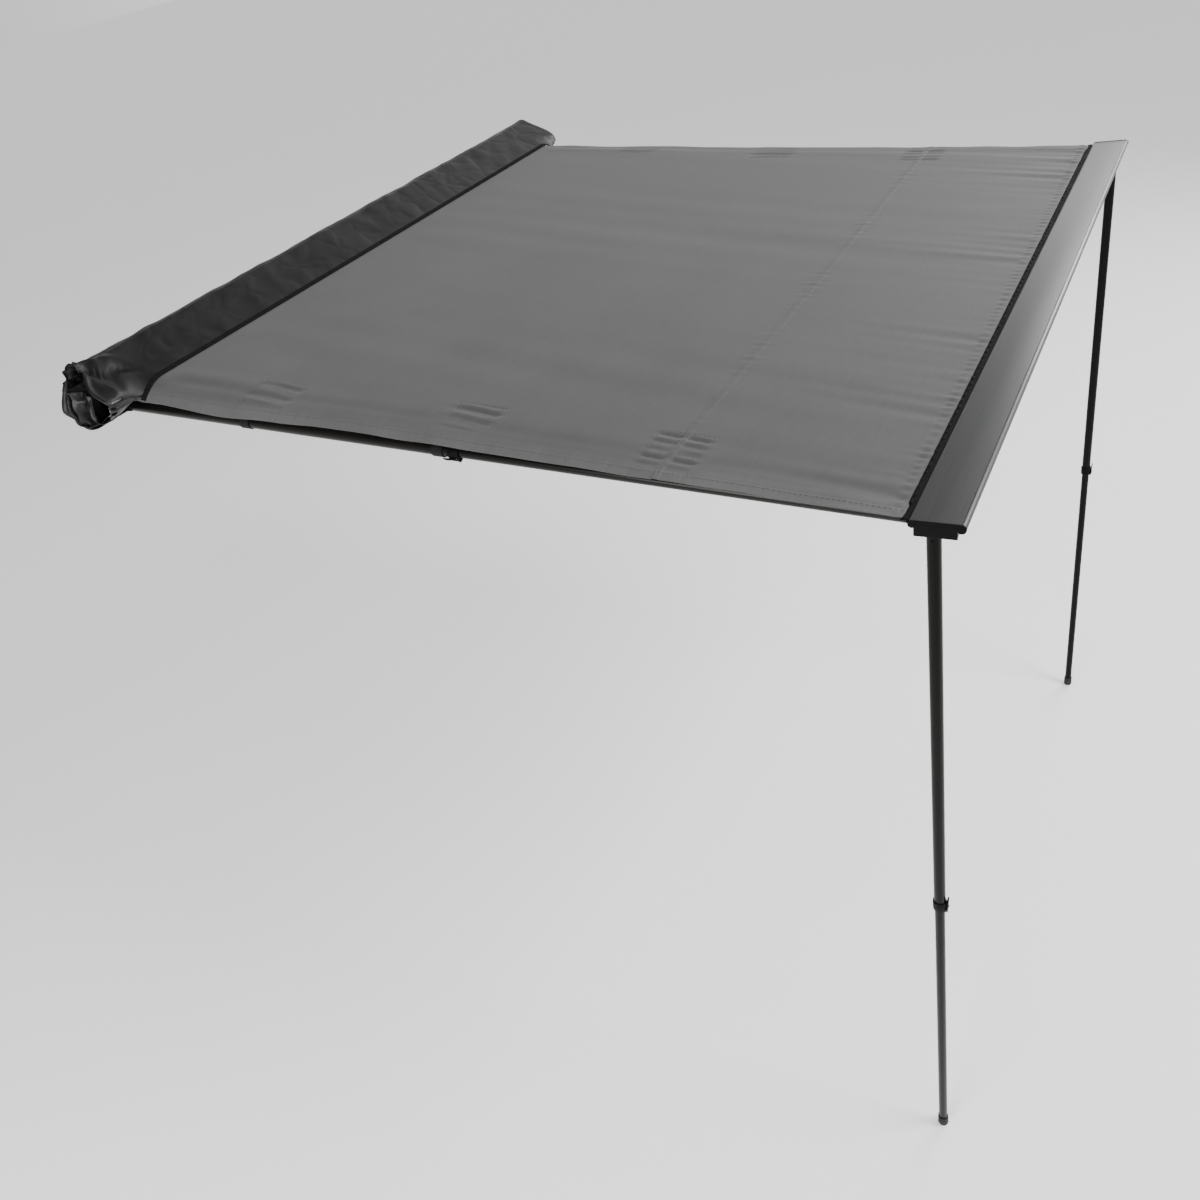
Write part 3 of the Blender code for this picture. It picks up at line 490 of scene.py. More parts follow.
def smoothstep(value: np.ndarray | float) -> np.ndarray | float:
    """Rise smoothly from 0 to 1, flat outside that range."""
    t = np.clip(value, 0.0, 1.0)
    return t * t * (3 - 2 * t)


def window(value: np.ndarray, low: float, high: float, soft: float) -> np.ndarray:
    """1 between low and high, falling to 0 over a soft edge on either side."""
    return smoothstep((value - low) / soft + 0.5) * smoothstep((high - value) / soft + 0.5)


def bell(value: np.ndarray, at: float, width: float) -> np.ndarray:
    """1 at a place, falling smoothly to 0 on either side of it."""
    return np.exp(-(((value - at) / width) ** 2))


def headings(path: np.ndarray) -> np.ndarray:
    """The direction of a path at each of its points, of length 1."""
    run = np.gradient(path, axis=0)
    return run / np.linalg.norm(run, axis=1)[:, None]


def outward(path: np.ndarray) -> np.ndarray:
    """The direction square to a flat path at each of its points."""
    run = headings(path)
    return np.stack([-run[:, 1], run[:, 0]], axis=1)


def arc(centre: Point, radius: float, start: float, end: float, steps: int) -> list[Point]:
    """Points on an arc between two angles in degrees, both included."""
    angles = [math.radians(start + (end - start) * i / steps) for i in range(steps + 1)]
    return [(centre[0] + radius * math.cos(a), centre[1] + radius * math.sin(a)) for a in angles]


def smooth_path(points: Sequence[Sequence[float]], shares: np.ndarray) -> np.ndarray:
    """Read places from a smooth curve through points.

    Args:
        points: the curve's own points.
        shares: places to read, from 0 at the start to 1 at the end.

    Returns:
        One row for each share.
    """
    knots = np.array(points, float)
    knots = np.vstack([knots[0], knots, knots[-1]])
    spans = len(knots) - 3
    place = np.clip(shares, 0, 1) * spans
    index = np.minimum(place.astype(int), spans - 1)
    t = (place - index)[:, None]
    p0, p1, p2, p3 = (knots[index + k] for k in range(4))
    return 0.5 * (
        2 * p1
        + (p2 - p0) * t
        + (2 * p0 - 5 * p1 + 4 * p2 - p3) * t**2
        + (3 * p1 - p0 - 3 * p2 + p3) * t**3
    )


def spaced(start: float, end: float, zones: Sequence[tuple[float, float, float]]) -> list[float]:
    """Places from a start until one is past the end.

    Args:
        start: the first place.
        end: where they stop.
        zones: from, to and the step inside; a later zone goes before an earlier one.

    Returns:
        The places.
    """
    places = [start]
    while places[-1] < end:
        here = places[-1]
        places.append(here + [step for low, high, step in zones if low < here < high][-1])
    return places


class Ripples:
    """Irregular folds that run one way: sines of unlike length that come and go."""

    def __init__(
        self, seed: int, lengths: Sequence[float], skew: float = 0.6, fade: float = 0.23
    ) -> None:
        """Draw the folds' phases.

        Args:
            seed: fixes the draw.
            lengths: the folds' spacings in metres.
            skew: how far the folds lean, at most.
            fade: the distance over which the folds come and go.
        """
        draw = random.Random(seed)
        self.waves = [
            (length, draw.uniform(0, 2 * math.pi), draw.uniform(-skew, skew)) for length in lengths
        ]
        self.fade, self.fade_phase = fade, draw.uniform(0, 2 * math.pi)

    def __call__(self, along: np.ndarray, across: np.ndarray) -> np.ndarray:
        """Read the folds.

        Args:
            along: places along the folds.
            across: places across them.

        Returns:
            Height from -1 to 1.
        """
        total = sum(
            np.sin(2 * np.pi * (across + lean * along) / length + phase)
            for length, phase, lean in self.waves
        )
        strength = 0.55 + 0.45 * np.sin(2 * np.pi * across / self.fade + self.fade_phase)
        return total / len(self.waves) * strength


def settled(shape: bmesh.types.BMesh, name: str) -> Mesh:
    """Turn a shape in the making to a mesh, and let go of it.

    Args:
        shape: the shape.
        name: the mesh's name.

    Returns:
        The mesh.
    """
    mesh = bpy.data.meshes.new(name)
    shape.to_mesh(mesh)
    shape.free()
    return mesh


def shaded(mesh: Mesh, sharp: float = SHADE_BREAK) -> Mesh:
    """Shade a mesh smooth except where it turns sharply."""
    mesh.shade_smooth()
    mesh.set_sharp_from_angle(angle=sharp)
    return mesh


def grid_mesh(name: str, points: np.ndarray, closed: bool = False) -> Mesh:
    """A surface through a grid of points, with a UV map in metres.

    Args:
        name: the mesh's name.
        points: rows of points, each row alike in length.
        closed: each row runs back to its first point.

    Returns:
        The mesh, shaded smooth.
    """
    rows, cols = points.shape[:2]
    shape = bmesh.new()
    verts = [[shape.verts.new(p) for p in row] for row in points]
    layer = shape.loops.layers.uv.new("cloth")
    step_u = np.linalg.norm(np.diff(points, axis=0), axis=2).mean(axis=1)
    step_v = np.linalg.norm(np.diff(points, axis=1), axis=2).mean(axis=0)
    u, v = np.concatenate([[0], np.cumsum(step_u)]), np.concatenate([[0], np.cumsum(step_v)])
    flat = np.stack(np.meshgrid(u, v, indexing="ij"), axis=2)
    for i in range(rows - 1):
        for j in range(cols if closed else cols - 1):
            k = (j + 1) % cols
            corners = ((i, j), (i, k), (i + 1, k), (i + 1, j))
            face = shape.faces.new([verts[a][b] for a, b in corners])
            face.smooth = True
            for loop, (a, b) in zip(face.loops, corners):
                loop[layer].uv = flat[a][b]
    return settled(shape, name)


def soften(mesh: Mesh, width: float, segments: int = 2) -> Mesh:
    """Merge a mesh, join its flat triangles, round its sharp edges and shade it.

    Args:
        mesh: the mesh, changed in place.
        width: the rounding's width in metres.
        segments: faces across the rounding.

    Returns:
        The same mesh.
    """
    merge, flat, sharp = 2e-6, math.radians(0.6), math.radians(32)
    shape = bmesh.new()
    shape.from_mesh(mesh)
    bmesh.ops.remove_doubles(shape, verts=shape.verts, dist=merge)
    bmesh.ops.dissolve_limit(shape, angle_limit=flat, verts=shape.verts, edges=shape.edges)
    edges = [e for e in shape.edges if e.is_manifold and e.calc_face_angle(0) > sharp]
    if edges:
        bmesh.ops.bevel(
            shape,
            geom=edges,
            offset=width,
            segments=segments,
            profile=0.5,
            affect="EDGES",
            clamp_overlap=True,
        )
    shape.to_mesh(mesh)
    shape.free()
    return shaded(mesh)


def prism(name: str, outline: Sequence[Point], low: float, high: float) -> Mesh:
    """A section in X and Z, drawn out along Y.

    Args:
        name: the mesh's name.
        outline: the section's points in turn.
        low: where it starts.
        high: where it ends.

    Returns:
        The closed mesh.
    """
    shape = bmesh.new()
    ends = [[shape.verts.new((x, y, z)) for x, z in outline] for y in (low, high)]
    for i in range(len(outline)):
        j = (i + 1) % len(outline)
        shape.faces.new((ends[0][i], ends[0][j], ends[1][j], ends[1][i]))
    shape.faces.new(ends[0])
    shape.faces.new(ends[1][::-1])
    bmesh.ops.recalc_face_normals(shape, faces=shape.faces)
    return settled(shape, name)


def turned(
    name: str,
    profile: Sequence[Point],
    sides: int,
    place: Matrix | None = None,
    closed: bool = False,
) -> Mesh:
    """Turn a profile of (radius, height) round Z.

    Args:
        name: the mesh's name.
        profile: the section's points, top to bottom down its outer side.
        sides: faces round the axis.
        place: where the finished shape goes.
        closed: the profile runs back to its first point, as on a tube.

    Returns:
        The mesh, merged at its poles and shaded.
    """
    shape = bmesh.new()
    rings = []
    for i in range(sides):
        a = 2 * math.pi * i / sides
        rings.append([shape.verts.new((r * math.cos(a), r * math.sin(a), z)) for r, z in profile])
    count = len(profile)
    for i in range(sides):
        ring, after = rings[i], rings[(i + 1) % sides]
        for j in range(count if closed else count - 1):
            k = (j + 1) % count
            shape.faces.new((ring[j], ring[k], after[k], after[j]))
    bmesh.ops.remove_doubles(shape, verts=shape.verts, dist=1e-7)
    bmesh.ops.recalc_face_normals(shape, faces=shape.faces)
    mesh = settled(shape, name)
    if place:
        mesh.transform(place)
    return shaded(mesh)


def joined(name: str, meshes: Iterable[Mesh]) -> Mesh:
    """Put several meshes in one, keeping their shading and UV maps.

    Args:
        name: the new mesh's name.
        meshes: the meshes.

    Returns:
        The new mesh.
    """
    shape = bmesh.new()
    for mesh in meshes:
        shape.from_mesh(mesh)
    return settled(shape, name)


def unwrap_box(mesh: Mesh) -> Mesh:
    """Give a mesh a UV map in metres, each face read straight on.

    Args:
        mesh: the mesh, changed in place.

    Returns:
        The same mesh.
    """
    layer = mesh.uv_layers.get("cloth") or mesh.uv_layers.new(name="cloth")
    for face in mesh.polygons:
        axis = max(range(3), key=lambda i: abs(face.normal[i]))
        keep = [i for i in range(3) if i != axis]
        for loop in face.loop_indices:
            co = mesh.vertices[mesh.loops[loop].vertex_index].co
            layer.data[loop].uv = (co[keep[0]], co[keep[1]])
    return mesh


def placed(name: str, data: bpy.types.ID) -> Piece:
    """Put an object in the scene round its mesh, light or camera."""
    made = bpy.data.objects.new(name, data)
    bpy.context.scene.collection.objects.link(made)
    return made


@dataclass(frozen=True)
class Body:
    """A CAD body that pieces ride on, and how a piece is handed to it."""

    name: str

    def carry(
        self,
        name: str,
        mesh: Mesh,
        finish: Material,
        slot: str,
        stands_for: Sequence[str] = (),
    ) -> Piece:
        """Put a finished mesh in the scene as a piece of this body.

        Args:
            name: the piece's name.
            mesh: its mesh, in place.
            finish: its material.
            slot: the record's material slot; not used.
            stands_for: the CAD nodes that it replaces.

        Returns:
            The piece.
        """
        mesh.name = name
        mesh.materials.clear()
        mesh.materials.append(finish)
        piece = placed(name, mesh)
        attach(piece, self.name)
        if stands_for:
            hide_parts(*stands_for)
        LOG.info("%s: %d faces on %s", name, len(mesh.polygons), self.name)
        return piece

    def rounded(
        self, node: str, finish: Material, slot: str, width: float, segments: int = 2
    ) -> Piece:
        """Stand a merged and rounded copy in for one of the body's CAD nodes."""
        mesh = soften(frame["nodes"][node].data.copy(), width, segments)
        return self.carry(f"{node}_finished", unwrap_box(mesh), finish, slot, [node])


BASE = Body("awning_base")
RAIL = Body("rail")


# Geometry Nodes tools


class RepeatTool:
    """Geometry Nodes that set a small shape along every line of a mesh of edges."""

    INPUTS = (
        ("Shape", "NodeSocketObject", None),
        ("Pitch", "NodeSocketFloat", 0.009),
        ("Wander", "NodeSocketFloat", 0.08),
        ("Seed", "NodeSocketInt", 1),
        ("Finish", "NodeSocketMaterial", None),
    )

    def __init__(self) -> None:
        """Build the tree once."""
        self.tree = bpy.data.node_groups.new("repeat_along_line", "GeometryNodeTree")
        self.sockets: dict[str, str] = {}
        face = self.tree.interface
        face.new_socket("Geometry", in_out="INPUT", socket_type="NodeSocketGeometry")
        for label, kind, value in self.INPUTS:
            socket = face.new_socket(label, in_out="INPUT", socket_type=kind)
            if value is not None:
                socket.default_value = value
            self.sockets[label] = socket.identifier
        face.new_socket("Geometry", in_out="OUTPUT", socket_type="NodeSocketGeometry")
        self.fill()

    def fill(self) -> None:
        """Lay the nodes: line, points, turned shapes, plain mesh."""
        tree = self.tree
        given = add(tree, "NodeGroupInput").outputs
        line = add(tree, "GeometryNodeMeshToCurve", {"Mesh": given["Geometry"]})
        points = add(
            tree,
            "GeometryNodeCurveToPoints",
            {"Curve": line.outputs["Curve"], "Length": given["Pitch"]},
            mode="LENGTH",
        )
        tangent = {"Vector": points.outputs["Tangent"]}
        turn = add(tree, "FunctionNodeAlignRotationToVector", tangent, axis="Z")
        wander = {0: 1.0, 1: given["Wander"]}
        least = add(tree, "ShaderNodeMath", wander, operation="SUBTRACT")
        most = add(tree, "ShaderNodeMath", wander, operation="ADD")
        size = add(
            tree,
            "FunctionNodeRandomValue",
            {RANDOM_MIN: least.outputs[0], RANDOM_MAX: most.outputs[0], "Seed": given["Seed"]},
            data_type="FLOAT",
        )
        unit = {"Object": given["Shape"], "As Instance": True}
        shape = add(tree, "GeometryNodeObjectInfo", unit)
        copies = add(
            tree,
            "GeometryNodeInstanceOnPoints",
            {
                "Points": points.outputs["Points"],
                "Instance": shape.outputs["Geometry"],
                "Rotation": turn.outputs["Rotation"],
                "Scale": size.outputs[RANDOM_OUT],
            },
        )
        real = add(tree, "GeometryNodeRealizeInstances", {"Geometry": copies.outputs["Instances"]})
        dressed = add(
            tree,
            "GeometryNodeSetMaterial",
            {"Geometry": real.outputs["Geometry"], "Material": given["Finish"]},
        )
        add(tree, "NodeGroupOutput", {"Geometry": dressed.outputs["Geometry"]})

    def run(
        self,
        name: str,
        lines: Sequence[np.ndarray],
        shape: Mesh,
        pitch: float,
        finish: Material,
        wander: float = 0.08,
        seed: int = 1,
    ) -> Mesh:
        """Set a shape along lines and return the plain mesh.

        Args:
            name: the mesh's name.
            lines: each an array of points.
            shape: the small shape, its length along Z.
            pitch: the distance from one shape to the next.
            finish: the material of every shape.
            wander: how far each shape's size varies.
            seed: fixes the variation.

        Returns:
            A mesh with every shape in place.
        """
        verts: list[tuple[float, ...]] = []
        edges: list[tuple[int, int]] = []
        for line in lines:
            start = len(verts)
            verts.extend(map(tuple, line))
            edges.extend((start + i, start + i + 1) for i in range(len(line) - 1))
        path = bpy.data.meshes.new(name + "_line")
        path.from_pydata(verts, edges, [])
        holder, unit = placed(name + "_line", path), placed(name + "_unit", shape)
        modifier = holder.modifiers.new("repeat", "NODES")
        modifier.node_group = self.tree
        values = {"Shape": unit, "Pitch": pitch, "Wander": wander, "Seed": seed, "Finish": finish}
        for label, value in values.items():
            modifier[self.sockets[label]] = value
        bpy.context.view_layer.update()
        graph = bpy.context.evaluated_depsgraph_get()
        made = bpy.data.meshes.new_from_object(holder.evaluated_get(graph))
        for helper in (holder, unit):
            bpy.data.objects.remove(helper, do_unlink=True)
        return made


def stitch_shape(length: float, thickness: float) -> Mesh:
    """One stitch: a short swelling of thread.

    Args:
        length: its length, along Z.
        thickness: the thread's thickness.

    Returns:
        The stitch, round the origin.
    """
    half, r = length / 2, thickness / 2
    profile = [(0, half), (0.7 * r, 0.8 * half), (r, 0.3 * half)]
    profile += [(x, -z) for x, z in reversed(profile)]
    return turned("stitch", profile, 6)


def tooth_shape(width: float, depth: float, height: float) -> Mesh:
    """One zip tooth: a small block with a rounded head, set across its line.

    Args:
        width: its width.
        depth: its depth.
        height: how far it stands out of the tape.

    Returns:
        The tooth, its foot at the origin.
    """
    half, nose, shoulder = width / 2, width * 0.2, height * 0.7
    right = [(half, 0), (half, shoulder), (nose, height)]
    outline = [(-half, 0), *right, (-nose, height), (-half, shoulder)]
    mesh = prism("tooth", outline, -depth / 2, depth / 2)
    mesh.transform(Matrix.Rotation(math.radians(90), 4, "X"))
    return shaded(mesh, math.radians(30))


def screw_head(radius: float, height: float) -> Mesh:
    """A domed screw head with a round socket, its face along +Z."""
    shares = [(0, 0.35), (0.42, 0.35), (0.45, 0.98), (0.62, 0.9), (0.85, 0.62), (1, 0.3), (1, 0)]
    profile = [(radius * out, height * up) for out, up in (*shares, (0, 0))]
    return turned("screw_head", profile, 20)


def ribbon(
    name: str, path: np.ndarray, across: Sequence[float], width: float, thickness: float
) -> Mesh:
    """A flat band of cloth or webbing along a path, its edges rounded.

    Args:
        name: the mesh's name.
        path: the band's middle line, one point a row.
        across: the direction of its width.
        width: the band's width.
        thickness: the band's thickness.

    Returns:
        A closed band with its ends capped.
    """
    run = headings(path)
    side = np.broadcast_to(np.asarray(across, float), path.shape)
    side = side - (side * run).sum(axis=1)[:, None] * run
    side = side / np.linalg.norm(side, axis=1)[:, None]
    up = np.cross(run, side)
    w, h = width / 2, thickness / 2
    inner = w - 0.6 * h
    section = [(-w, 0), (-inner, h), (-inner / 2, h), (0, h), (inner / 2, h), (inner, h), (w, 0)]
    section += [(x, -z) for x, z in reversed(section[1:-1])]
    rows = np.stack([path + side * a + up * b for a, b in section], axis=1)
    shape = bmesh.new()
    shape.from_mesh(grid_mesh(name, rows, closed=True))
    bmesh.ops.holes_fill(shape, edges=[e for e in shape.edges if e.is_boundary])
    bmesh.ops.recalc_face_normals(shape, faces=shape.faces)
    mesh = settled(shape, name)
    mesh.set_sharp_from_angle(angle=math.radians(50))
    return mesh


def facing(mesh: Mesh, direction: Sequence[float]) -> Mesh:
    """Turn an open sheet over if most of it looks away from a direction.

    Args:
        mesh: the sheet, changed in place.
        direction: the way that its face should look.

    Returns:
        The same mesh.
    """
    total = sum((face.normal * face.area for face in mesh.polygons), Vector())
    if total.dot(Vector(direction)) < 0:
        mesh.flip_normals()
    return mesh


def thicken(piece: Piece, thickness: float, offset: float = -1.0) -> None:
    """Give a sheet its thickness.

    Args:
        piece: the sheet.
        thickness: how thick it is.
        offset: -1 behind its face, 0 half on either side.
    """
    skin = piece.modifiers.new("thickness", "SOLIDIFY")
    skin.thickness = thickness
    skin.offset = offset
    skin.use_even_offset = False


# Sub-assemblies


@dataclass(frozen=True)
class Layout:
    """Places that the sub-assemblies share, read off the frame."""

    half_width: float
    groove_z: float
    canopy_back: float
    canopy_front: float
    rail_x: float
    rail_top: float
    floor: float

    @classmethod
    def read(cls) -> "Layout":
        """Read the layout from the CAD nodes' boxes.

        Returns:
            The layout.
        """
        board, rail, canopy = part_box("backboard"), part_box("front_rail"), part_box("canopy")
        keder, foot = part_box("canopy_keder"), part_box("near_leg_foot")
        bead_overhang, margin = 0.0015, 0.0001
        return cls(
            half_width=board[1].y,
            groove_z=(keder[0].z + keder[1].z) / 2,
            canopy_back=canopy[0].x + margin,
            canopy_front=canopy[1].x - margin,
            rail_x=rail[0].x + bead_overhang,
            rail_top=rail[1].z,
            floor=foot[0].z,
        )


@dataclass(frozen=True)
class Patch:
    """A lashing patch sewn over a side hem, with a webbing loop below it."""

    side: Side
    start: float
    end: float
    fold_from: float  # from the canopy's side to its first fold
    depth: float  # and to its inner end
    pucker: float  # height of the folds across it
    spacing: float  # from one fold to the next


@dataclass
class Canopy:
    """The canopy: one sheet from the backboard's groove to the front rail."""

    layout: Layout
    finishes: Finishes
    repeat: RepeatTool
    bag_seam: float = 0.165
    front_drop: float = 0.0052  # from the rail's top down to the sheet's front edge
    hem_droop: float = 0.033  # how far the slack side hems hang
    hem_bulge: float = 0.012  # and more a little way out from the bag
    hem_tuck: float = 0.008  # and at the bag's corner
    hem_roll: float = 0.078  # how far in from the side they begin to hang
    hem_fold: float = 0.022
    scallop: float = 0.0095  # how far the slack draws each side in
    scallop_span: tuple[float, float, float] = (0.72, 2.20, 0.20)  # from, to, soft edge
    belly: float = 0.006
    thickness: float = 0.0009
    border: float = 0.0011  # a narrow last row keeps the cut edge crisp
    panel_seam: float = 1.533
    panel_seam_half: float = 0.0065
    stitch_pitch: float = 0.0095
    tick_pitch: float = 0.0235
    loops: Point = (0.4653, 1.0233)
    tab: Point = (0.029, 0.0016)  # a webbing tab's width and thickness
    tab_inset: float = 0.036
    patches: tuple[Patch, ...] = (
        Patch(Side.NEAR, 0.470, 0.602, 0.030, 0.130, 0.0027, 0.040),
        Patch(Side.NEAR, 1.010, 1.125, 0.052, 0.150, 0.0026, 0.038),
        Patch(Side.NEAR, 1.478, 1.588, 0.014, 0.158, 0.0023, 0.027),
        Patch(Side.FAR, 0.500, 0.632, 0.040, 0.135, 0.0016, 0.036),
        Patch(Side.FAR, 1.000, 1.130, 0.040, 0.150, 0.0016, 0.036),
        Patch(Side.FAR, 1.478, 1.588, 0.014, 0.155, 0.0020, 0.030),
    )

    def height(self, x: np.ndarray, y: np.ndarray) -> np.ndarray:
        """The sheet's middle surface without its fine folds.

        Args:
            x: places away from the vehicle.
            y: places along it.

        Returns:
            The height at each place.
        """
        lay = self.layout
        front_z = lay.rail_top - self.front_drop
        t = (x - lay.canopy_back) / (lay.canopy_front - lay.canopy_back)
        plane = lay.groove_z + t * (front_z - lay.groove_z)
        reach = np.clip((lay.rail_x - x) / (lay.rail_x - self.bag_seam), 0, 1)
        tuck = np.clip((x - lay.canopy_back) / (self.bag_seam - lay.canopy_back - 0.03), 0, 1)
        slack = self.hem_droop * (1 - np.exp(-1.8 * reach**1.2))
        bulge = self.hem_bulge * bell(x - self.bag_seam, 0.25, 0.13)
        bulge = bulge + self.hem_tuck * np.exp(-np.abs(x - self.bag_seam) / 0.11)
        edge = np.clip(1 - (lay.half_width - np.abs(y)) / self.hem_roll, 0, None) ** 1.9
        sag = self.belly * np.sin(np.pi * t) * np.cos(np.pi * y / (2 * lay.half_width))
        return plane - tuck**2 * (slack + bulge) * edge - sag

    def relief(self, x: np.ndarray, y: np.ndarray) -> np.ndarray:
        """The folds, puckers, hems and seam that stand on the middle surface.

        Args:
            x: places away from the vehicle.
            y: places along it.

        Returns:
            Their height at each place.
        """
        inward = self.layout.half_width - np.abs(y)
        before = self.layout.canopy_front - x
        total = self.sewn(x, y, inward) + self.gathered(x, y, before)
        total = total + self.hung(x, y, inward, before)
        for patch in self.patches:
            total = total + self.puckered(patch, x, y)
        return total

    def sewn(self, x: np.ndarray, y: np.ndarray, inward: np.ndarray) -> np.ndarray:
        """The folded side hems, and the seam across the sheet with its puckers.

        Args:
            x: places away from the vehicle.
            y: places along it.
            inward: how far they lie in from the nearer side.

        Returns:
            Their height at each place.
        """
        low, high = self.panel_seam - self.panel_seam_half, self.panel_seam + self.panel_seam_half
        puckers = Ripples(11, (0.024, 0.037), skew=0.0, fade=0.4)(x * 0, y)
        hem = 0.0009 * smoothstep((self.hem_fold - inward) / 0.003 + 0.5)
        seam = 0.0013 * window(x, low, high, 0.002)
        return hem + seam + 0.0007 * puckers * bell(x, self.panel_seam, 0.022)

    def gathered(self, x: np.ndarray, y: np.ndarray, before: np.ndarray) -> np.ndarray:
        """The gathers and ticks at the front strip, and the pulls that run back from them.

        Args:
            x: places away from the vehicle.
            y: places along it.
            before: how far they lie behind the front edge.

        Returns:
            Their height at each place.
        """
        drawn = Ripples(43, (0.09, 0.16, 0.25), skew=0.0, fade=3.0)(x * 0, y)
        drawn = 0.35 + 0.9 * smoothstep(0.5 + 0.9 * drawn)
        gathers = Ripples(3, (0.019, 0.026, 0.034), skew=0.10, fade=0.31)(x, y)
        total = 0.0012 * np.exp(-before / 0.030) * smoothstep(before / 0.006) * gathers * drawn
        tick = np.sin(2 * np.pi * y / self.tick_pitch + 1.6 * np.sin(2 * np.pi * y / 0.21))
        total = total + 0.0013 * window(before, 0.010, 0.024, 0.007) * tick * (0.4 + 0.6 * drawn)
        corner = 0.45 + 0.55 * smoothstep((np.abs(y) - 0.55) / 0.3)
        bunched = smoothstep(0.45 + 0.9 * Ripples(29, (0.27, 0.43), skew=0.0, fade=5.0)(x, y))
        pulls = Ripples(8, (0.047, 0.068, 0.105), skew=0.12, fade=0.62)(x, y)
        pulls = pulls * (0.3 + 1.1 * bunched) * corner
        return total + 0.0055 * np.exp(-before / 0.15) * smoothstep(before / 0.02) * pulls

    def hung(
        self, x: np.ndarray, y: np.ndarray, inward: np.ndarray, before: np.ndarray
    ) -> np.ndarray:
        """The sheet's slack, and the ridges and valley that run along its hanging sides.

        Args:
            x: places away from the vehicle.
            y: places along it.
            inward: how far they lie in from the nearer side.
            before: how far they lie behind the front edge.

        Returns:
            Their height at each place.
        """
        lively = smoothstep((x - self.bag_seam) / 0.10)
        rear = np.exp(-(x - self.bag_seam).clip(0) / 0.33) * lively
        slack = Ripples(5, (0.14, 0.23, 0.37), skew=0.25, fade=0.9)(x, y)
        total = 0.0014 * slack * lively * smoothstep(before / 0.2)
        total = total + (0.0020 + 0.0030 * rear) * lively * bell(inward, 0.029, 0.013)
        total = total - (0.0015 + 0.0060 * rear) * lively * bell(inward, 0.070, 0.017)
        total = total + 0.0022 * rear * bell(inward, 0.108, 0.02)
        edge_wave = Ripples(21, (0.17, 0.29), skew=0.0, fade=0.8)(y * 0, x)
        edge_wave = edge_wave * np.exp(-inward / 0.03) * smoothstep(before / 0.15)
        return total + 0.0022 * edge_wave * lively

    def puckered(self, patch: Patch, x: np.ndarray, y: np.ndarray) -> np.ndarray:
        """The folds that a patch's stitching draws across the hem.

        Args:
            patch: the patch.
            x: places away from the vehicle.
            y: places along it.

        Returns:
            Their height at each place, 0 away from the patch.
        """
        inward = self.layout.half_width - patch.side.value * y
        inside = window(x, patch.start, patch.end, 0.012)
        inside = inside * window(inward, patch.fold_from, patch.depth, 0.014)
        lean = 0.07 * (x - patch.start)
        turn = 2 * np.pi * (inward + lean) / patch.spacing + 40 * patch.start
        fold = np.sin(turn + 0.5 * np.sin(turn))
        uneven = 0.75 + 0.35 * np.sin(turn / 2.6 + 70 * patch.end) + 0.25 * np.sin(48 * x + turn)
        seam = self.panel_seam if patch.start < self.panel_seam < patch.end else 0.0
        tied = 1 - 0.8 * bell(x, seam, 0.009)
        return inside * (patch.pucker * fold * uneven * tied - 0.0008)

    def surface(self, x: np.ndarray, y: np.ndarray, lift: float = 0.0) -> np.ndarray:
        """Points on the finished sheet.

        Args:
            x: places away from the vehicle.
            y: places along it.
            lift: how far above the sheet they lie.

        Returns:
            A point for each place.
        """
        z = self.height(x, y) + self.relief(x, y) + lift
        drawn_in = self.scallop * window(x, *self.scallop_span) / self.layout.half_width
        return np.stack([x, y * (1 - drawn_in), z], axis=-1)

    def stations(self) -> tuple[np.ndarray, np.ndarray]:
        """Where the sheet's rows and columns of points lie: close where it is folded.

        Returns:
            The rows' places away from the vehicle, and the columns' places along it.
        """
        lay, seam, inf = self.layout, self.panel_seam, math.inf
        near = [patch for patch in self.patches if patch.side is Side.NEAR]
        zones = [
            (-inf, inf, 0.024),
            *((patch.start - 0.02, patch.end + 0.02, 0.0095) for patch in near),
            (seam - 0.014, seam + 0.014, 0.0026),
            (lay.canopy_front - 0.16, inf, 0.009),
            (lay.canopy_front - 0.035, inf, 0.005),
        ]
        rows = spaced(self.bag_seam + self.border, lay.canopy_front - 0.004, zones)
        xs = [self.bag_seam, *rows[:-1], lay.canopy_front - self.border, lay.canopy_front]
        side, fold = lay.half_width - 0.001, lay.half_width - self.hem_fold
        zones = [
            (-inf, inf, 0.0058),
            (side - 0.17, inf, 0.0048),
            (fold - 0.006, fold + 0.006, 0.0018),
        ]
        columns = spaced(0.0, side - 0.003, zones)
        half = np.array([*columns[:-1], side - self.border, side])
        return np.array(xs), np.concatenate([-half[:0:-1], half])

    def gather(self, piece: Piece) -> None:
        """Give a piece of the canopy a mesh of its own.

        Args:
            piece: the piece, on the awning's base.
        """
        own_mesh(piece)

    def sheet(self, name: str, xs: np.ndarray, ys: np.ndarray) -> Piece:
        """Build one stretch of the cloth.

        Args:
            name: the piece's name.
            xs: its rows of points, away from the vehicle.
            ys: its columns of points, along the vehicle.

        Returns:
            The cloth piece.
        """
        grid_x, grid_y = np.meshgrid(xs, ys, indexing="ij")
        mesh = facing(grid_mesh(name, self.surface(grid_x, grid_y)), (0, 0, 1))
        piece = BASE.carry(name, mesh, self.finishes.canopy, "canopy_cloth", ["canopy"])
        thicken(piece, self.thickness, 0.0)
        return piece

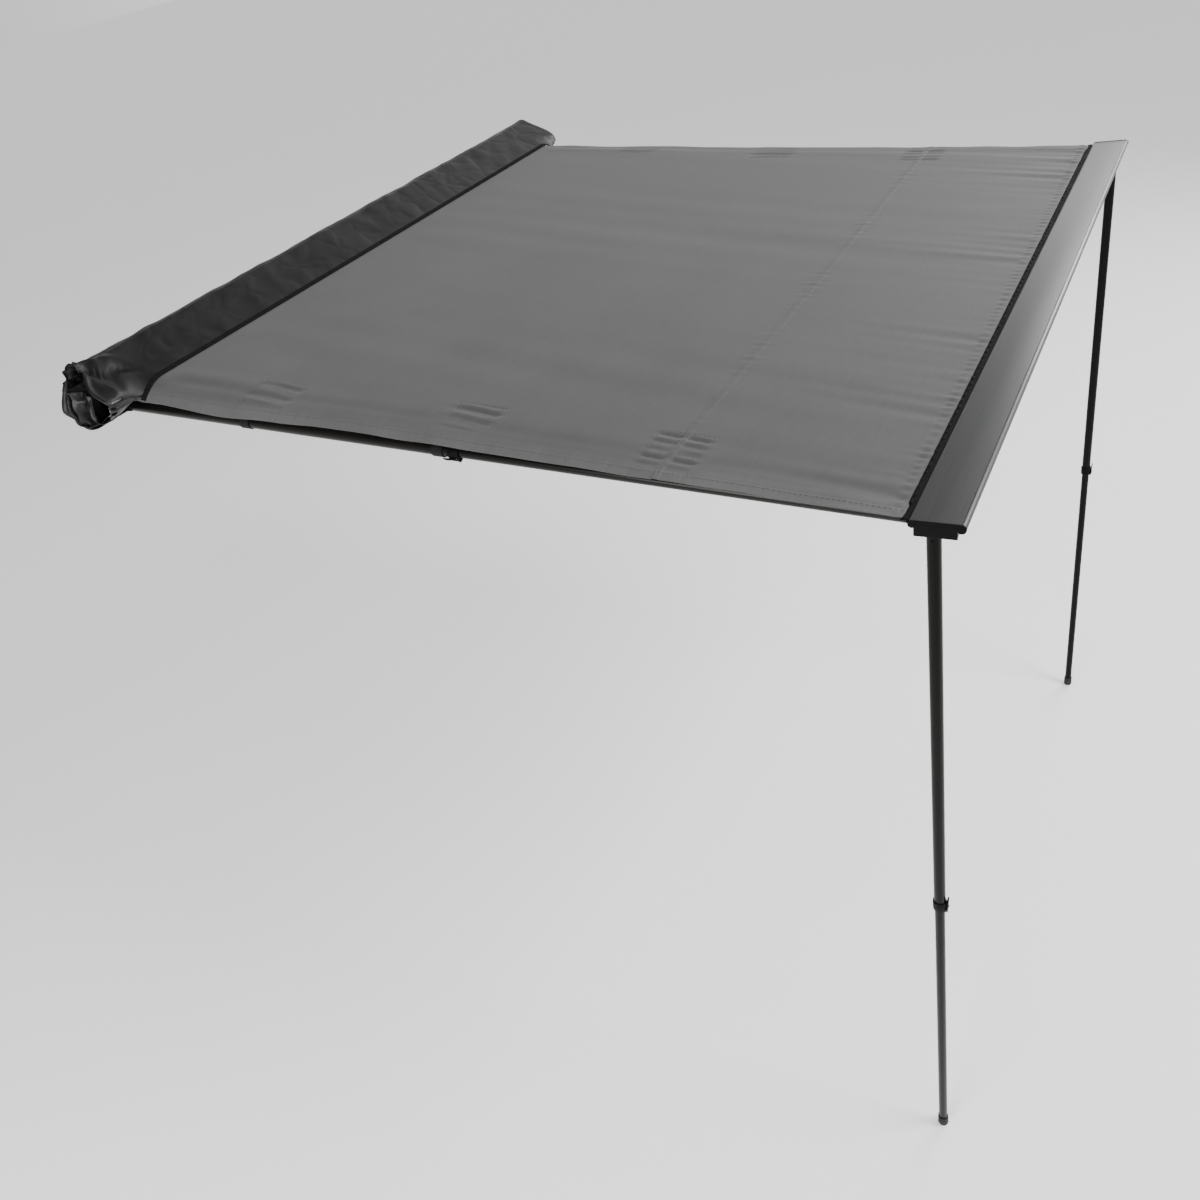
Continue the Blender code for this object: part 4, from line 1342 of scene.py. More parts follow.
    def rows_of_stitches(self) -> list[np.ndarray]:
        """The lines that the canopy's thread follows.

        Returns:
            The points of each line.
        """
        lay, lift, step = self.layout, self.thickness / 2 + 0.0003, 0.004
        span = np.arange(-lay.half_width + step, lay.half_width - step, step)
        run = np.arange(self.bag_seam + 0.012, lay.canopy_front - step, step)
        lines = []
        for offset in (-0.0045, 0.0045):
            lines.append(self.surface(np.full_like(span, self.panel_seam + offset), span, lift))
        for side in Side:
            edge = side.value * (lay.half_width - self.hem_fold + 0.003)
            lines.append(self.surface(run, np.full_like(run, edge), lift))
        for patch in self.patches:
            lines += self.patch_rows(patch, lift)
        return lines

    def patch_rows(self, patch: Patch, lift: float) -> list[np.ndarray]:
        """A patch's stitching: its two sides and its inner end.

        Args:
            patch: the patch.
            lift: how far above the sheet the thread lies.

        Returns:
            The points of each line.
        """
        inward = np.arange(0.006, patch.depth, 0.003)
        y = patch.side.value * (self.layout.half_width - inward)
        lines = [self.surface(np.full_like(y, x), y, lift) for x in (patch.start, patch.end)]
        run = np.arange(patch.start, patch.end, 0.003)
        end = patch.side.value * (self.layout.half_width - patch.depth)
        lines.append(self.surface(run, np.full_like(run, end), lift))
        return lines

    def stitching(self) -> Piece:
        """Sew every row with one tool.

        Returns:
            The thread piece.
        """
        mesh = self.repeat.run(
            "canopy_stitching",
            self.rows_of_stitches(),
            stitch_shape(0.0062, 0.0011),
            self.stitch_pitch,
            self.finishes.thread,
            seed=4,
        )
        return BASE.carry("canopy_stitching", mesh, self.finishes.thread, "canopy_cloth")

    def hangers(self) -> list[Piece]:
        """The webbing tabs that run from the patches down to the arms' loops.

        Returns:
            The four tabs.
        """
        pieces = []
        for side in Side:
            y = side.value * (self.layout.half_width - self.tab_inset)
            for number, x in enumerate(self.loops, start=1):
                spots_x = x + np.linspace(-0.015, 0.015, 7)
                spots_y = y + np.linspace(-0.007, 0.007, 7)[:, None]
                above = self.surface(*np.broadcast_arrays(spots_x, spots_y))[..., 2]
                top = float(above.min()) - 0.0016
                loop_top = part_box(f"{side.word}_arm_strap_{number}")[1].z
                drop = np.linspace(top, loop_top + 0.0008, 9)
                bow = side.value * 0.0035 * np.sin(np.linspace(0, math.pi, 9))
                path = np.stack([np.full(9, x), y + bow, drop], axis=1)
                foot = np.array([[x, y - side.value * 0.0062, top - 0.0002]])
                mesh = ribbon("hanger", np.vstack([foot, path]), (1, 0, 0), *self.tab)
                name = f"{side.word}_hanger_{number}"
                pieces.append(BASE.carry(name, mesh, self.finishes.webbing, "webbing"))
        return pieces

    def build(self) -> None:
        """Make the canopy, its thread and its tabs, and give each its own mesh."""
        xs, ys = self.stations()
        cloth = self.sheet("canopy_cloth", xs, ys)
        hidden = np.linspace(self.layout.canopy_back, self.bag_seam, 9)
        tucked = self.sheet("canopy_in_bag", hidden, ys[::3])
        thread = self.stitching()
        tabs = self.hangers()
        keder = frame["nodes"]["canopy_keder"]
        keder.data.materials.clear()
        keder.data.materials.append(self.finishes.webbing)
        for piece in (cloth, thread, *tabs):
            self.gather(piece)


@dataclass
class FrontRail:
    """The front rail: extrusion, caps, leg blocks, pegs and the sewn strip."""

    layout: Layout
    finishes: Finishes
    repeat: RepeatTool
    bead: Point = (0.0047, -0.0062)
    bead_radius: float = 0.0062
    keder_radius: float = 0.0026
    mouth: float = 0.0022
    plate: float = 0.0028
    notch: tuple[Point, ...] = ((0.0806, 0.0), (0.0808, -0.0011), (0.0820, -0.0011))
    lip: Point = (0.0815, -0.0078)
    lip_radius: float = 0.0078
    lip_inner: float = 0.0056
    flange_in: float = 0.0075
    flange_out: float = 0.0758
    wall: float = 0.0020
    depth: float = 0.026
    toe: Point = (0.0012, 0.0015)
    strip_path: tuple[Point, ...] = (
        (-0.0150, -0.0044), (-0.0110, -0.0032), (-0.0065, -0.0030), (-0.0030, -0.0044),
        (0.0012, -0.0062),
    )
    strip_thickness: float = 0.0011
    tack_pitch: float = 0.0235
    thread_pitch: float = 0.0092

    def outline(self) -> list[Point]:
        """The extrusion's section from its inner edge and top face, finely stepped.

        Returns:
            The section's points in turn.
        """
        bead, r = self.bead, self.bead_radius
        outer_half = math.degrees(math.asin(self.mouth / 2 / r))
        inner_half = math.degrees(math.asin(self.mouth / 2 / self.keder_radius))
        wall_in, wall_out = self.flange_in + self.wall, self.flange_out - self.wall
        toe, toe_height = self.toe
        plate_angle = math.degrees(math.asin((r - self.plate) / r))
        wall_angle = -math.degrees(math.acos((wall_in - bead[0]) / r))
        flange_angle = -math.degrees(math.acos((self.flange_in - bead[0]) / r))
        foot = -self.depth + toe_height
        return [
            *arc(bead, r, 180 - outer_half, 90, 18),
            *self.notch,
            *arc(self.lip, self.lip_radius, 82, -110, 40),
            *arc(self.lip, self.lip_inner, -110, 95, 30),
            (self.flange_out, -self.plate),
            (self.flange_out, -self.depth),
            (wall_out - toe, -self.depth),
            (wall_out - toe, foot),
            (wall_out, foot),
            (wall_out, -self.plate),
            *arc(bead, r, plate_angle, wall_angle, 10),
            (wall_in, foot),
            (wall_in + toe, foot),
            (wall_in + toe, -self.depth),
            (self.flange_in, -self.depth),
            *arc(bead, r, flange_angle, -180 + outer_half, 16),
            *arc(bead, self.keder_radius, -180 + inner_half, 180 - inner_half, 28),
        ]

    def extrusion(self) -> Piece:
        """Draw the section out to the rail's length.

        Returns:
            The rail piece.
        """
        lay, node = self.layout, "front_rail"
        section = [(lay.rail_x + x, lay.rail_top + z) for x, z in self.outline()]
        mesh = soften(prism(node, section, -lay.half_width, lay.half_width), 0.00035)
        return RAIL.carry(
            f"{node}_finished", unwrap_box(mesh), self.finishes.extrusion, "anodised_grey", [node]
        )

    def strip(self) -> Piece:
        """The dark strip sewn over the canopy's front edge, puckered by its stitching.

        Returns:
            The strip piece.
        """
        lay, node = self.layout, "front_strip"
        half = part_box("front_strip")[1].y
        ys = np.arange(-half, half + 0.001, 0.0045)
        shares = np.linspace(0, 1, 13)
        section = smooth_path(self.strip_path, shares)
        lumps = Ripples(17, (0.017, 0.027, 0.045), skew=0.0, fade=0.19)(ys * 0, ys)
        swell = np.sin(np.pi * np.clip(shares / 0.7, 0, 1))
        rows = []
        for y, lump in zip(ys, lumps):
            x = lay.rail_x + section[:, 0] + 0.0006 * lump * (1 - shares)
            z = lay.rail_top + section[:, 1] + 0.0007 * lump * swell
            rows.append(np.stack([x, np.full_like(x, y), z], axis=1))
        mesh = facing(grid_mesh(node, np.array(rows)), (0, 0, 1))
        piece = RAIL.carry(f"{node}_finished", mesh, self.finishes.tape, "webbing", [node])
        thicken(piece, self.strip_thickness)
        return piece

    def strip_stitches(self) -> Piece:
        """Bar tacks along the strip's inner edge and a row of thread beside them.

        Returns:
            The thread piece.
        """
        lay, margin = self.layout, 0.008
        ys = np.arange(-lay.half_width + margin, lay.half_width - margin, 0.004)
        rows = []
        for offset, lift in ((-0.0094, 0.0014), (-0.0046, 0.0012)):
            x = np.full_like(ys, lay.rail_x + offset)
            rows.append(np.stack([x, ys, np.full_like(ys, lay.rail_top - 0.0042 + lift)], axis=1))
        run, black = self.repeat.run, self.finishes.dark_thread
        tack, stitch = stitch_shape(0.0120, 0.0034), stitch_shape(0.006, 0.0012)
        tacks = run("bar_tacks", rows[:1], tack, self.tack_pitch, black, wander=0.35, seed=9)
        thread = run("strip_thread", rows[1:], stitch, self.thread_pitch, black, seed=10)
        mesh = joined("strip_stitching", [tacks, thread])
        return RAIL.carry("strip_stitching", mesh, black, "webbing")

    def build(self) -> None:
        """Make the rail's pieces."""
        self.extrusion()
        self.strip()
        self.strip_stitches()
        nylon, zinc = self.finishes.nylon, self.finishes.zinc
        for side in Side:
            RAIL.rounded(f"rail_cap_{side.word}", nylon, "black_nylon", 0.0009, 3)
            RAIL.rounded(f"{side.word}_leg_bracket", nylon, "black_nylon", 0.0006)
            RAIL.rounded(f"{side.word}_leg_pin", zinc, "zinc_steel", 0.0004)
            RAIL.rounded(f"{side.word}_arm_socket", zinc, "zinc_steel", 0.0003)


@dataclass
class Backboard:
    """The backboard extrusion with its caps, rack bolts and arm brackets."""

    finishes: Finishes
    bolt_pitch: float = 0.00125
    shank: float = 0.0038
    slot_lip: float = 0.0022
    head: float = 0.0062
    nut: float = 0.0072
    nut_at: Point = (0.012, 0.0186)

    def bolt(self, node: str) -> Piece:
        """One T-bolt with its nut, the thread cut in its shank.

        Args:
            node: the CAD node that it stands for.

        Returns:
            The bolt piece.
        """
        low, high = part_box(node)
        under, end, root = -self.slot_lip - 0.0003, -low.x, self.shank - 0.0005
        thread = [(0, end), (self.shank - 0.0008, end)]
        height = end - 0.0006
        while height > under:
            thread += [(self.shank, height), (root, height - self.bolt_pitch / 2)]
            height -= self.bolt_pitch
        thread += [(root, under), (0, under)]
        head = [(0, under), (self.head - 0.0004, under), (self.head, under - 0.0005)]
        head += [(self.head, -high.x), (0, -high.x)]
        (foot, top), face = self.nut_at, self.nut - 0.0010
        nut = [(0, top), (face, top), (self.nut, top - 0.0008)]
        nut += [(self.nut, foot + 0.0008), (face, foot), (0, foot)]
        middle = Matrix.Translation((0, (low.y + high.y) / 2, (low.z + high.z) / 2))
        place = middle @ Matrix.Rotation(math.radians(-90), 4, "Y")
        shapes = (("shank", thread, 28), ("head", head, 6), ("nut", nut, 6))
        mesh = joined(node, [turned(*shape, place) for shape in shapes])
        return BASE.carry(f"{node}_finished", mesh, self.finishes.zinc, "zinc_steel", [node])

    def build(self) -> None:
        """Make the backboard's pieces."""
        nylon = self.finishes.nylon
        BASE.rounded("backboard", self.finishes.extrusion, "anodised_grey", 0.0003)
        for number in range(1, 5):
            self.bolt(f"rack_bolt_{number}")
        for side in Side:
            BASE.rounded(f"backboard_cap_{side.word}", nylon, "black_nylon", 0.0005)
            BASE.rounded(f"{side.word}_arm_bracket", nylon, "black_anodised", 0.0007)
            BASE.rounded(f"{side.word}_arm_pin", self.finishes.zinc, "zinc_steel", 0.0004)


@dataclass
class Telescope:
    """A telescopic strut: knuckle, two tubes, cam-lever clamp and screws.

    Its own Z runs down the tube from the hinge pin, and its X points at the lever.
    """

    name: str
    place: Matrix
    tube_finish: Material
    finishes: Finishes
    repeat: RepeatTool
    clamp_at: float
    inner_end: float
    outer_radius: float = 0.0125
    inner_radius: float = 0.0110
    wall: float = 0.0012
    start: float = 0.0203
    overlap: float = 0.100
    gap: float = 0.0003
    screw_at: float = 0.0535
    screw_faces: Point = (0.0, 1.0)
    grip_x: float = 0.0188  # the lever's grip, from the tube's middle
    grip_at: float = -0.026  # its free end, from the clamp
    rib_pitch: float = 0.0021
    sides: int = 64

    def body(self, part: str) -> Body:
        """The strut's body that holds a part of it."""
        return Body(f"{self.name}_{part}")

    def tube(self, part: str, radius: float, low: float, high: float) -> Piece:
        """One tube with its ends chamfered.

        Args:
            part: outer or inner.
            radius: the tube's outer radius.
            low: where it starts, from the pin.
            high: where it ends.

        Returns:
            The tube piece.
        """
        bore, chamfer = radius - self.wall, 0.0004
        profile = [
            (radius - chamfer, high),
            (radius, high - chamfer),
            (radius, low + chamfer),
            (radius - chamfer, low),
            (bore + chamfer, low),
            (bore, low + chamfer),
            (bore, high - chamfer),
            (bore + chamfer, high),
        ]
        node = f"{self.name}_{part}_tube"
        mesh = turned(node, profile, self.sides, self.place, closed=True)
        return self.body(part).carry(
            f"{node}_finished", mesh, self.tube_finish, "black_anodised", [node]
        )

    def clamp(self) -> None:
        """The clamp's collar, lever and pin, with the lever's grip ribs."""
        outer, lever, nylon = self.body("outer"), self.body("lever"), self.finishes.nylon
        outer.rounded(f"{self.name}_clamp", nylon, "black_nylon", 0.0005)
        outer.rounded(f"{self.name}_lever_pin", self.finishes.zinc, "zinc_steel", 0.0002)
        lever.rounded(f"{self.name}_lever", nylon, "black_nylon", 0.0006)
        tip = self.clamp_at + self.grip_at
        line = [[self.grip_x + 0.0004, 0, tip + 0.0030], [self.grip_x - 0.0001, 0, tip + 0.0135]]
        deep, half = 0.0004, 0.0041
        outline = [(-deep, -deep), (0.0001, -deep), (0.0005, 0), (0.0001, deep), (-deep, deep)]
        rib, name = prism("rib", outline, -half, half), f"{self.name}_grip_ribs"
        mesh = self.repeat.run(name, [np.array(line)], rib, self.rib_pitch, nylon, wander=0.0)
        mesh.transform(self.place)
        lever.carry(name, mesh, nylon, "black_nylon")

    def screws(self) -> None:
        """The two small black screws that hold the knuckle's plug in the outer tube."""
        name, nylon, one_each = f"{self.name}_screws", self.finishes.nylon, 1.0
        faces = np.array([*self.screw_faces, 0])
        sunk, proud = self.outer_radius - 0.0004, self.outer_radius + 0.0006
        along = (0, 0, self.screw_at)
        lines = [np.array([faces * side * sunk, faces * side * proud]) + along for side in (-1, 1)]
        mesh = self.repeat.run(
            name, lines, screw_head(0.0028, 0.0016), one_each, nylon, wander=0.0
        )
        mesh.transform(self.place)
        self.body("outer").carry(name, mesh, nylon, "black_nylon")

    def build(self) -> None:
        """Make the strut's pieces."""
        knuckle = f"{self.name}_knuckle"
        self.body("outer").rounded(knuckle, self.finishes.nylon, "black_nylon", 0.0006)
        self.tube("outer", self.outer_radius, self.start, self.clamp_at - self.gap)
        self.tube("inner", self.inner_radius, self.clamp_at - self.overlap, self.inner_end)
        self.clamp()
        self.screws()


@dataclass
class Arm:
    """One telescopic arm with its tip and lashing loops."""

    side: Side
    finishes: Finishes
    repeat: RepeatTool
    clamp_at: float = 1.016
    length: float = 1.94435
    neck: float = 0.0125
    loops: Point = (0.416, 0.975)
    loop_inner: float = 0.0130
    web: Point = (0.0288, 0.0017)  # the loop's width and thickness
    stow_tilt: float = 1.05  # how far the folded arm rises, in degrees

    def place(self) -> Matrix:
        """The arm's frame: Z down the tube, X towards the clamp's lever.

        Returns:
            The frame, its origin in the bracket's pin.
        """
        low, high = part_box(f"{self.side.word}_arm_pin")
        joint = next(j for j in frame["joints"] if j["name"] == f"{self.side.word}_arm_extend")
        along = Vector(joint["axis"]).normalized()
        tilt = math.radians(self.stow_tilt)
        swing = along.cross(Vector((0, math.cos(tilt), math.sin(tilt)))).normalized()
        lever = (swing.cross(along) * self.side.value - swing).normalized()
        turn = Matrix((lever, along.cross(lever), along)).transposed().to_4x4()
        return Matrix.Translation((low + high) / 2) @ turn

    def tip(self) -> None:
        """The tip that sits on the rail's peg."""
        inner, node = Body(f"{self.side.word}_arm_inner"), f"{self.side.word}_arm_tip"
        inner.rounded(node, self.finishes.nylon, "black_nylon", 0.0005)

    def loop(self, number: int, at: float) -> Piece:
        """A webbing loop round the tube, its two ends sewn together above it.

        Args:
            number: 1 or 2, from the root.
            at: its middle, along the arm.

        Returns:
            The loop piece.
        """
        node = f"{self.side.word}_arm_strap_{number}"
        place, (width, web) = self.place(), self.web
        along = (place.to_3x3() @ Vector((0, 0, 1))).normalized()
        centre = place @ Vector((0, 0, at))
        up = (Vector((0, 0, 1)) - along * along.z).normalized()
        out = along.cross(up)
        r = self.loop_inner + web / 2
        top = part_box(node)[1].z - centre.z - 0.0003
        ends = [(0.0009, top), (0.0010, r + 0.002)]
        ring = [(r * math.cos(a), r * math.sin(a)) for a in np.radians(np.arange(72, -253, -12))]
        points = ends + ring + [(-x, z) for x, z in reversed(ends)]
        flat = smooth_path(points, np.linspace(0, 1, 96))
        path = np.array([tuple(centre + out * a + up * b) for a, b in flat])
        mesh = ribbon(node, path, tuple(along), width, web)
        return Body(f"{self.side.word}_arm_outer").carry(
            f"{node}_finished", mesh, self.finishes.webbing, "webbing", [node]
        )

    def build(self) -> None:
        """Make the arm's pieces."""
        strut = Telescope(
            f"{self.side.word}_arm",
            self.place(),
            self.finishes.arm_tube,
            self.finishes,
            self.repeat,
            self.clamp_at,
            self.length - self.neck - Telescope.gap,
            screw_faces=(0.7, 0.7),
        )
        strut.build()
        self.tip()
        for number, at in enumerate(self.loops, start=1):
            self.loop(number, at)


@dataclass
class Leg:
    """One telescopic leg with its rubber foot."""

    side: Side
    layout: Layout
    finishes: Finishes
    repeat: RepeatTool
    clamp_at: float = 1.038
    foot_floor: float = 0.008
    foot_radius: float = 0.0135
    foot_height: float = 0.036
    foot_bore: float = 0.0113
    grooves: tuple[float, ...] = (0.030, 0.0262, 0.0224)  # their tops, from the floor
    tread: Point = (0.0078, 0.0050)  # radius of each ring cut in the sole
    pivot_drop: float = 0.0165

    def place(self) -> Matrix:
        """The leg's frame: Z down the tube, X towards the clamp's lever.

        Returns:
            The frame, its origin in the rail's pin.
        """
        low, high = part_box(f"{self.side.word}_leg_foot")
        pin_z = self.layout.rail_top - self.pivot_drop
        pivot = Vector(((low.x + high.x) / 2, (low.y + high.y) / 2, pin_z))
        return Matrix.Translation(pivot) @ Matrix(((1, 0, 0), (0, -1, 0), (0, 0, -1))).to_4x4()

    def foot(self) -> Piece:
        """The rubber foot: three grip grooves and a rounded tread.

        Returns:
            The foot piece.
        """
        node = f"{self.side.word}_leg_foot"
        low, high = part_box(node)
        edge, bore, r, top = 0.004, self.foot_bore, self.foot_radius, self.foot_height
        profile = [(0, self.foot_floor), (bore, self.foot_floor), (bore, top - 0.0006)]
        profile += [(bore + 0.0005, top), (r - 0.001, top), (r, top - 0.001)]
        for at in self.grooves:
            cut = ((0, 0), (0.0007, 0.0006), (0.0007, 0.0013), (0, 0.0019))
            profile += [(r - inward, at - down) for inward, down in cut]
        profile += arc((r - edge, edge), edge, 0, -90, 8)
        for at in self.tread:
            cut = ((0, 0), (0.0004, 0.0008), (0.0012, 0.0008), (0.0016, 0))
            profile += [(at - inward, up) for inward, up in cut]
        profile.append((0, 0))
        place = Matrix.Translation(((low.x + high.x) / 2, (low.y + high.y) / 2, low.z))
        mesh, body = turned(node, profile, 56, place), Body(f"{self.side.word}_leg_inner")
        return body.carry(f"{node}_finished", mesh, self.finishes.rubber, "rubber", [node])

    def build(self) -> None:
        """Make the leg's pieces."""
        place = self.place()
        length = place.translation.z - self.layout.floor
        strut = Telescope(
            f"{self.side.word}_leg",
            place,
            self.finishes.leg_tube,
            self.finishes,
            self.repeat,
            self.clamp_at,
            length - self.foot_floor - Telescope.gap,
        )
        strut.build()
        self.foot()


@dataclass
class Bag:
    """The storage bag: a sagging shell of coated cloth, open along its front."""

    layout: Layout
    finishes: Finishes
    repeat: RepeatTool
    canopy: Canopy
    seam_x: float = 0.165
    ridge: Point = (0.034, 0.056)
    ridge_radius: float = 0.040
    seam_lift: float = 0.0034
    thickness: float = 0.0018
    cuff_thickness: float = 0.0012
    end_gap: float = 0.0043  # from the canopy's side to the pouch's first row
    end_start: float = 1.0056
    mouth_centre: Point = (0.062, 0.018)
    mouth_mean: float = 0.060
    mouth_lobes: float = 0.022
    lobe_angle: float = 20.0
    far_share: float = 0.36
    girth: float = 0.235
    gusset_girth: float = 0.30
    crease: tuple[Point, ...] = (
        (-1.052, 0.176), (-1.015, 0.196), (-0.980, 0.201), (-0.925, 0.219),
    )
    crease_depth: float = 0.0125

    def top_path(self, y: float, shares: np.ndarray) -> np.ndarray:
        """The top panel's section at a place along the bag, from its keder to the seam.

        Args:
            y: the place.
            shares: places round the section, from 0 to 1.

        Returns:
            One row for each share.
        """
        ridge = arc(self.ridge, self.ridge_radius, 178, 60, 8)
        reach = self.layout.half_width - 0.001
        over = np.array(np.clip(y, -reach, reach))
        seam_z = float(self.canopy.height(np.array(self.seam_x), over))
        inner = [(-0.0022, 0.0465), (-0.004, 0.0515), *ridge, (0.090, 0.069), (0.130, 0.045)]
        inner.append((self.seam_x, seam_z + self.seam_lift))
        outer = [(-0.0045, 0.044), (-0.0052, 0.050), *ridge, (0.108, 0.058), (0.146, 0.034)]
        outer.append((0.158, 0.012))
        share = float(smoothstep((abs(y) - 0.975) / 0.05))
        knots = np.array(inner) * (1 - share) + np.array(outer) * share
        return smooth_path(knots, shares)

    def gusset_path(self, shares: np.ndarray) -> np.ndarray:
        """The end pouch's lower section, from the seam's corner round to the backboard.

        Args:
            shares: places round the section, from 0 to 1.

        Returns:
            One row for each share.
        """
        knots = [
            (0.158, 0.013), (0.152, 0.002), (0.138, -0.007), (0.100, -0.025), (0.062, -0.044),
            (0.030, -0.057), (0.006, -0.056), (-0.005, -0.040), (-0.0072, -0.012),
            (-0.0072, 0.020), (-0.0055, 0.047),
        ]
        return smooth_path(knots, shares)

    def mouth(self, side: Side, x: np.ndarray, z: np.ndarray) -> np.ndarray:
        """How far the pouch reaches past the backboard's end, round its mouth.

        Args:
            side: the bag's end.
            x: places of the section away from the vehicle.
            z: their height.

        Returns:
            The reach at each place.
        """
        turn = np.arctan2(z - self.mouth_centre[1], x - self.mouth_centre[0])
        lobes = np.cos(2 * (turn - math.radians(self.lobe_angle)))
        reach = self.mouth_mean + self.mouth_lobes * lobes
        return reach if side is Side.NEAR else reach * self.far_share

    def crushed(
        self, along: np.ndarray, round_: np.ndarray, size: float, seed: float
    ) -> np.ndarray:
        """Sharp ridges and flat facets, as in cloth that has been crushed.

        Args:
            along: place along the bag.
            round_: place round its section, as a length.
            size: how far apart the ridges lie.
            seed: shifts the pattern.

        Returns:
            Height from about -1 to 1.
        """
        total = np.zeros_like(along)
        for index in np.ndindex(along.shape):
            spot = Vector((float(along[index]) / size, float(round_[index]) / size * 1.3, seed))
            coarse = 1 - 3.2 * math.hypot(noise.noise(spot), 0.03)
            fine = 1 - 3.2 * math.hypot(noise.noise(spot * 2.1 + Vector((5.1, 1.7, 0.0))), 0.05)
            total[index] = 0.78 * coarse + 0.22 * fine
        return total

    def creased(self, along: np.ndarray, round_: np.ndarray) -> np.ndarray:
        """The deep fold that runs from the crushed end down to the seam.

        Args:
            along: place along the bag.
            round_: place round the section, as a length.

        Returns:
            Its height off the smooth shape.
        """
        knots = np.array(self.crease)
        line = np.interp(along, knots[:, 0], knots[:, 1])
        away = line - round_
        held = smoothstep((along - knots[0, 0] + 0.02) / 0.02)
        held = held * smoothstep((knots[-1, 0] - along) / 0.05)
        valley = -self.crease_depth * np.exp(-np.abs(away) / 0.006)
        return held * (valley + 0.45 * self.crease_depth * bell(away, 0.017, 0.010))

    def folds(self, along: np.ndarray, round_: np.ndarray, near_end: np.ndarray) -> np.ndarray:
        """Everything that stands off the bag's smooth shape.

        Args:
            along: place along the bag.
            round_: place round the section, as a length.
            near_end: distance from the crushed end.

        Returns:
            Height off the smooth shape.
        """
        sag = 0.0034 * Ripples(31, (0.31, 0.52, 0.83), skew=0.6, fade=1.3)(round_, along)
        slant = 0.0012 * Ripples(33, (0.083, 0.131, 0.19), skew=1.1, fade=0.45)(round_, along)
        creases = 0.0016 * self.crushed(along + 0.8 * round_, round_, 0.11, 3.0)
        crush = 0.0062 * np.exp(-near_end / 0.05) * self.crushed(along, round_, 0.050, 11.0)
        return sag + slant + creases + crush + 0.0035 * bell(near_end, 0.006, 0.006)

    def bulged(self, path: np.ndarray, y: np.ndarray, height: np.ndarray) -> np.ndarray:
        """Push a section out along its normals and give it its place along the bag.

        Args:
            path: the section's points.
            y: their places along the bag.
            height: how far each is pushed out.

        Returns:
            The points in space.
        """
        moved = path + outward(path) * height[:, None]
        return np.stack([moved[:, 0], y, moved[:, 1]], axis=1)

    def cloth(
        self,
        mesh: Mesh,
        faces: Sequence[float],
        name: str,
        stands_for: Sequence[str] = (),
        thickness: float = thickness,
    ) -> Piece:
        """Make one piece of the bag's cloth.

        Args:
            mesh: the cloth's middle surface.
            faces: the way that its outer face looks.
            name: the piece's name.
            stands_for: the CAD nodes that it stands for.
            thickness: the cloth's thickness.

        Returns:
            The piece.
        """
        mesh, finish = facing(mesh, tuple(faces)), self.finishes.bag
        piece = BASE.carry(name, mesh, finish, "bag_cloth", stands_for)
        thicken(piece, thickness)
        return piece

    def top_grid(self, rows: int, shares: np.ndarray) -> np.ndarray:
        """Points of the upper panel with both pouches' upper halves.

        Args:
            rows: how many sections along the bag.
            shares: places round each section.

        Returns:
            One row of points for each section.
        """
        reach = {}
        for side in Side:
            section = self.top_path(side.value * 1.03, shares)
            reach[side] = self.mouth(side, section[:, 0], section[:, 1])
        low = -(self.end_start + reach[Side.NEAR])
        high = self.end_start + reach[Side.FAR]
        crushed = rows // 5  # sections in the near end's first tenth
        crowded = [np.linspace(0, 0.10, crushed)[:-1], np.linspace(0.10, 1, rows - crushed)]
        y = low + (high - low) * np.concatenate(crowded)[:, None]
        round_ = np.broadcast_to(shares * self.girth, y.shape)
        fixed = smoothstep(shares / 0.07) * smoothstep((1 - shares) / 0.05)
        loose = 1 + 0.6 * smoothstep((np.abs(y) - 0.99) / 0.03)
        height = (self.folds(y, round_, y - low) * loose + self.creased(y, round_)) * fixed
        grid = []
        for places, lifts in zip(y, height):
            points = zip(places, shares)
            path = np.array([self.top_path(at, np.array([share]))[0] for at, share in points])
            grid.append(self.bulged(path, places, lifts))
        return np.array(grid)

    def top(self) -> Piece:
        """The upper panel with both pouches' upper halves in one cloth.

        Returns:
            The top panel piece.
        """
        mesh = grid_mesh("bag_top", self.top_grid(330, np.linspace(0, 1, 65)))
        return self.cloth(mesh, (0, 0, 1), "bag_top_finished", ["bag_top_panel"])

    def gusset(self, side: Side) -> Piece:
        """One end pouch's lower half, crushed like the top.

        Args:
            side: the end that it closes.

        Returns:
            The gusset piece.
        """
        half, gap, shares = self.layout.half_width, self.end_gap, np.linspace(0, 1, 81)
        section = self.gusset_path(shares)
        reach = self.mouth(side, section[:, 0], section[:, 1]) + self.end_start - half - gap
        columns = np.linspace(0, 1, 30)
        y = half + gap + reach * columns[:, None]
        near_end = reach * (1 - columns[:, None]) if side is Side.NEAR else np.full_like(y, 0.05)
        round_ = np.broadcast_to(shares * self.gusset_girth, y.shape)
        fixed = smoothstep(shares / 0.05) * smoothstep((1 - shares) / 0.05)
        fixed = fixed * smoothstep(columns[:, None] / 0.3)
        height = -self.folds(y * side.value, round_, near_end) * fixed
        grid = []
        for i, column in enumerate(columns):
            tight = float(smoothstep(1 - column / 0.25))
            path = section.copy()
            path[:, 0] += tight * np.clip(0.0010 - section[:, 0], 0, None)
            grid.append(self.bulged(path, y[i] * side.value, height[i]))
        name = f"bag_end_{side.word}"
        mesh = grid_mesh("gusset", np.array(grid))
        return self.cloth(mesh, (0.3, 0, -1), f"{name}_finished", [name])

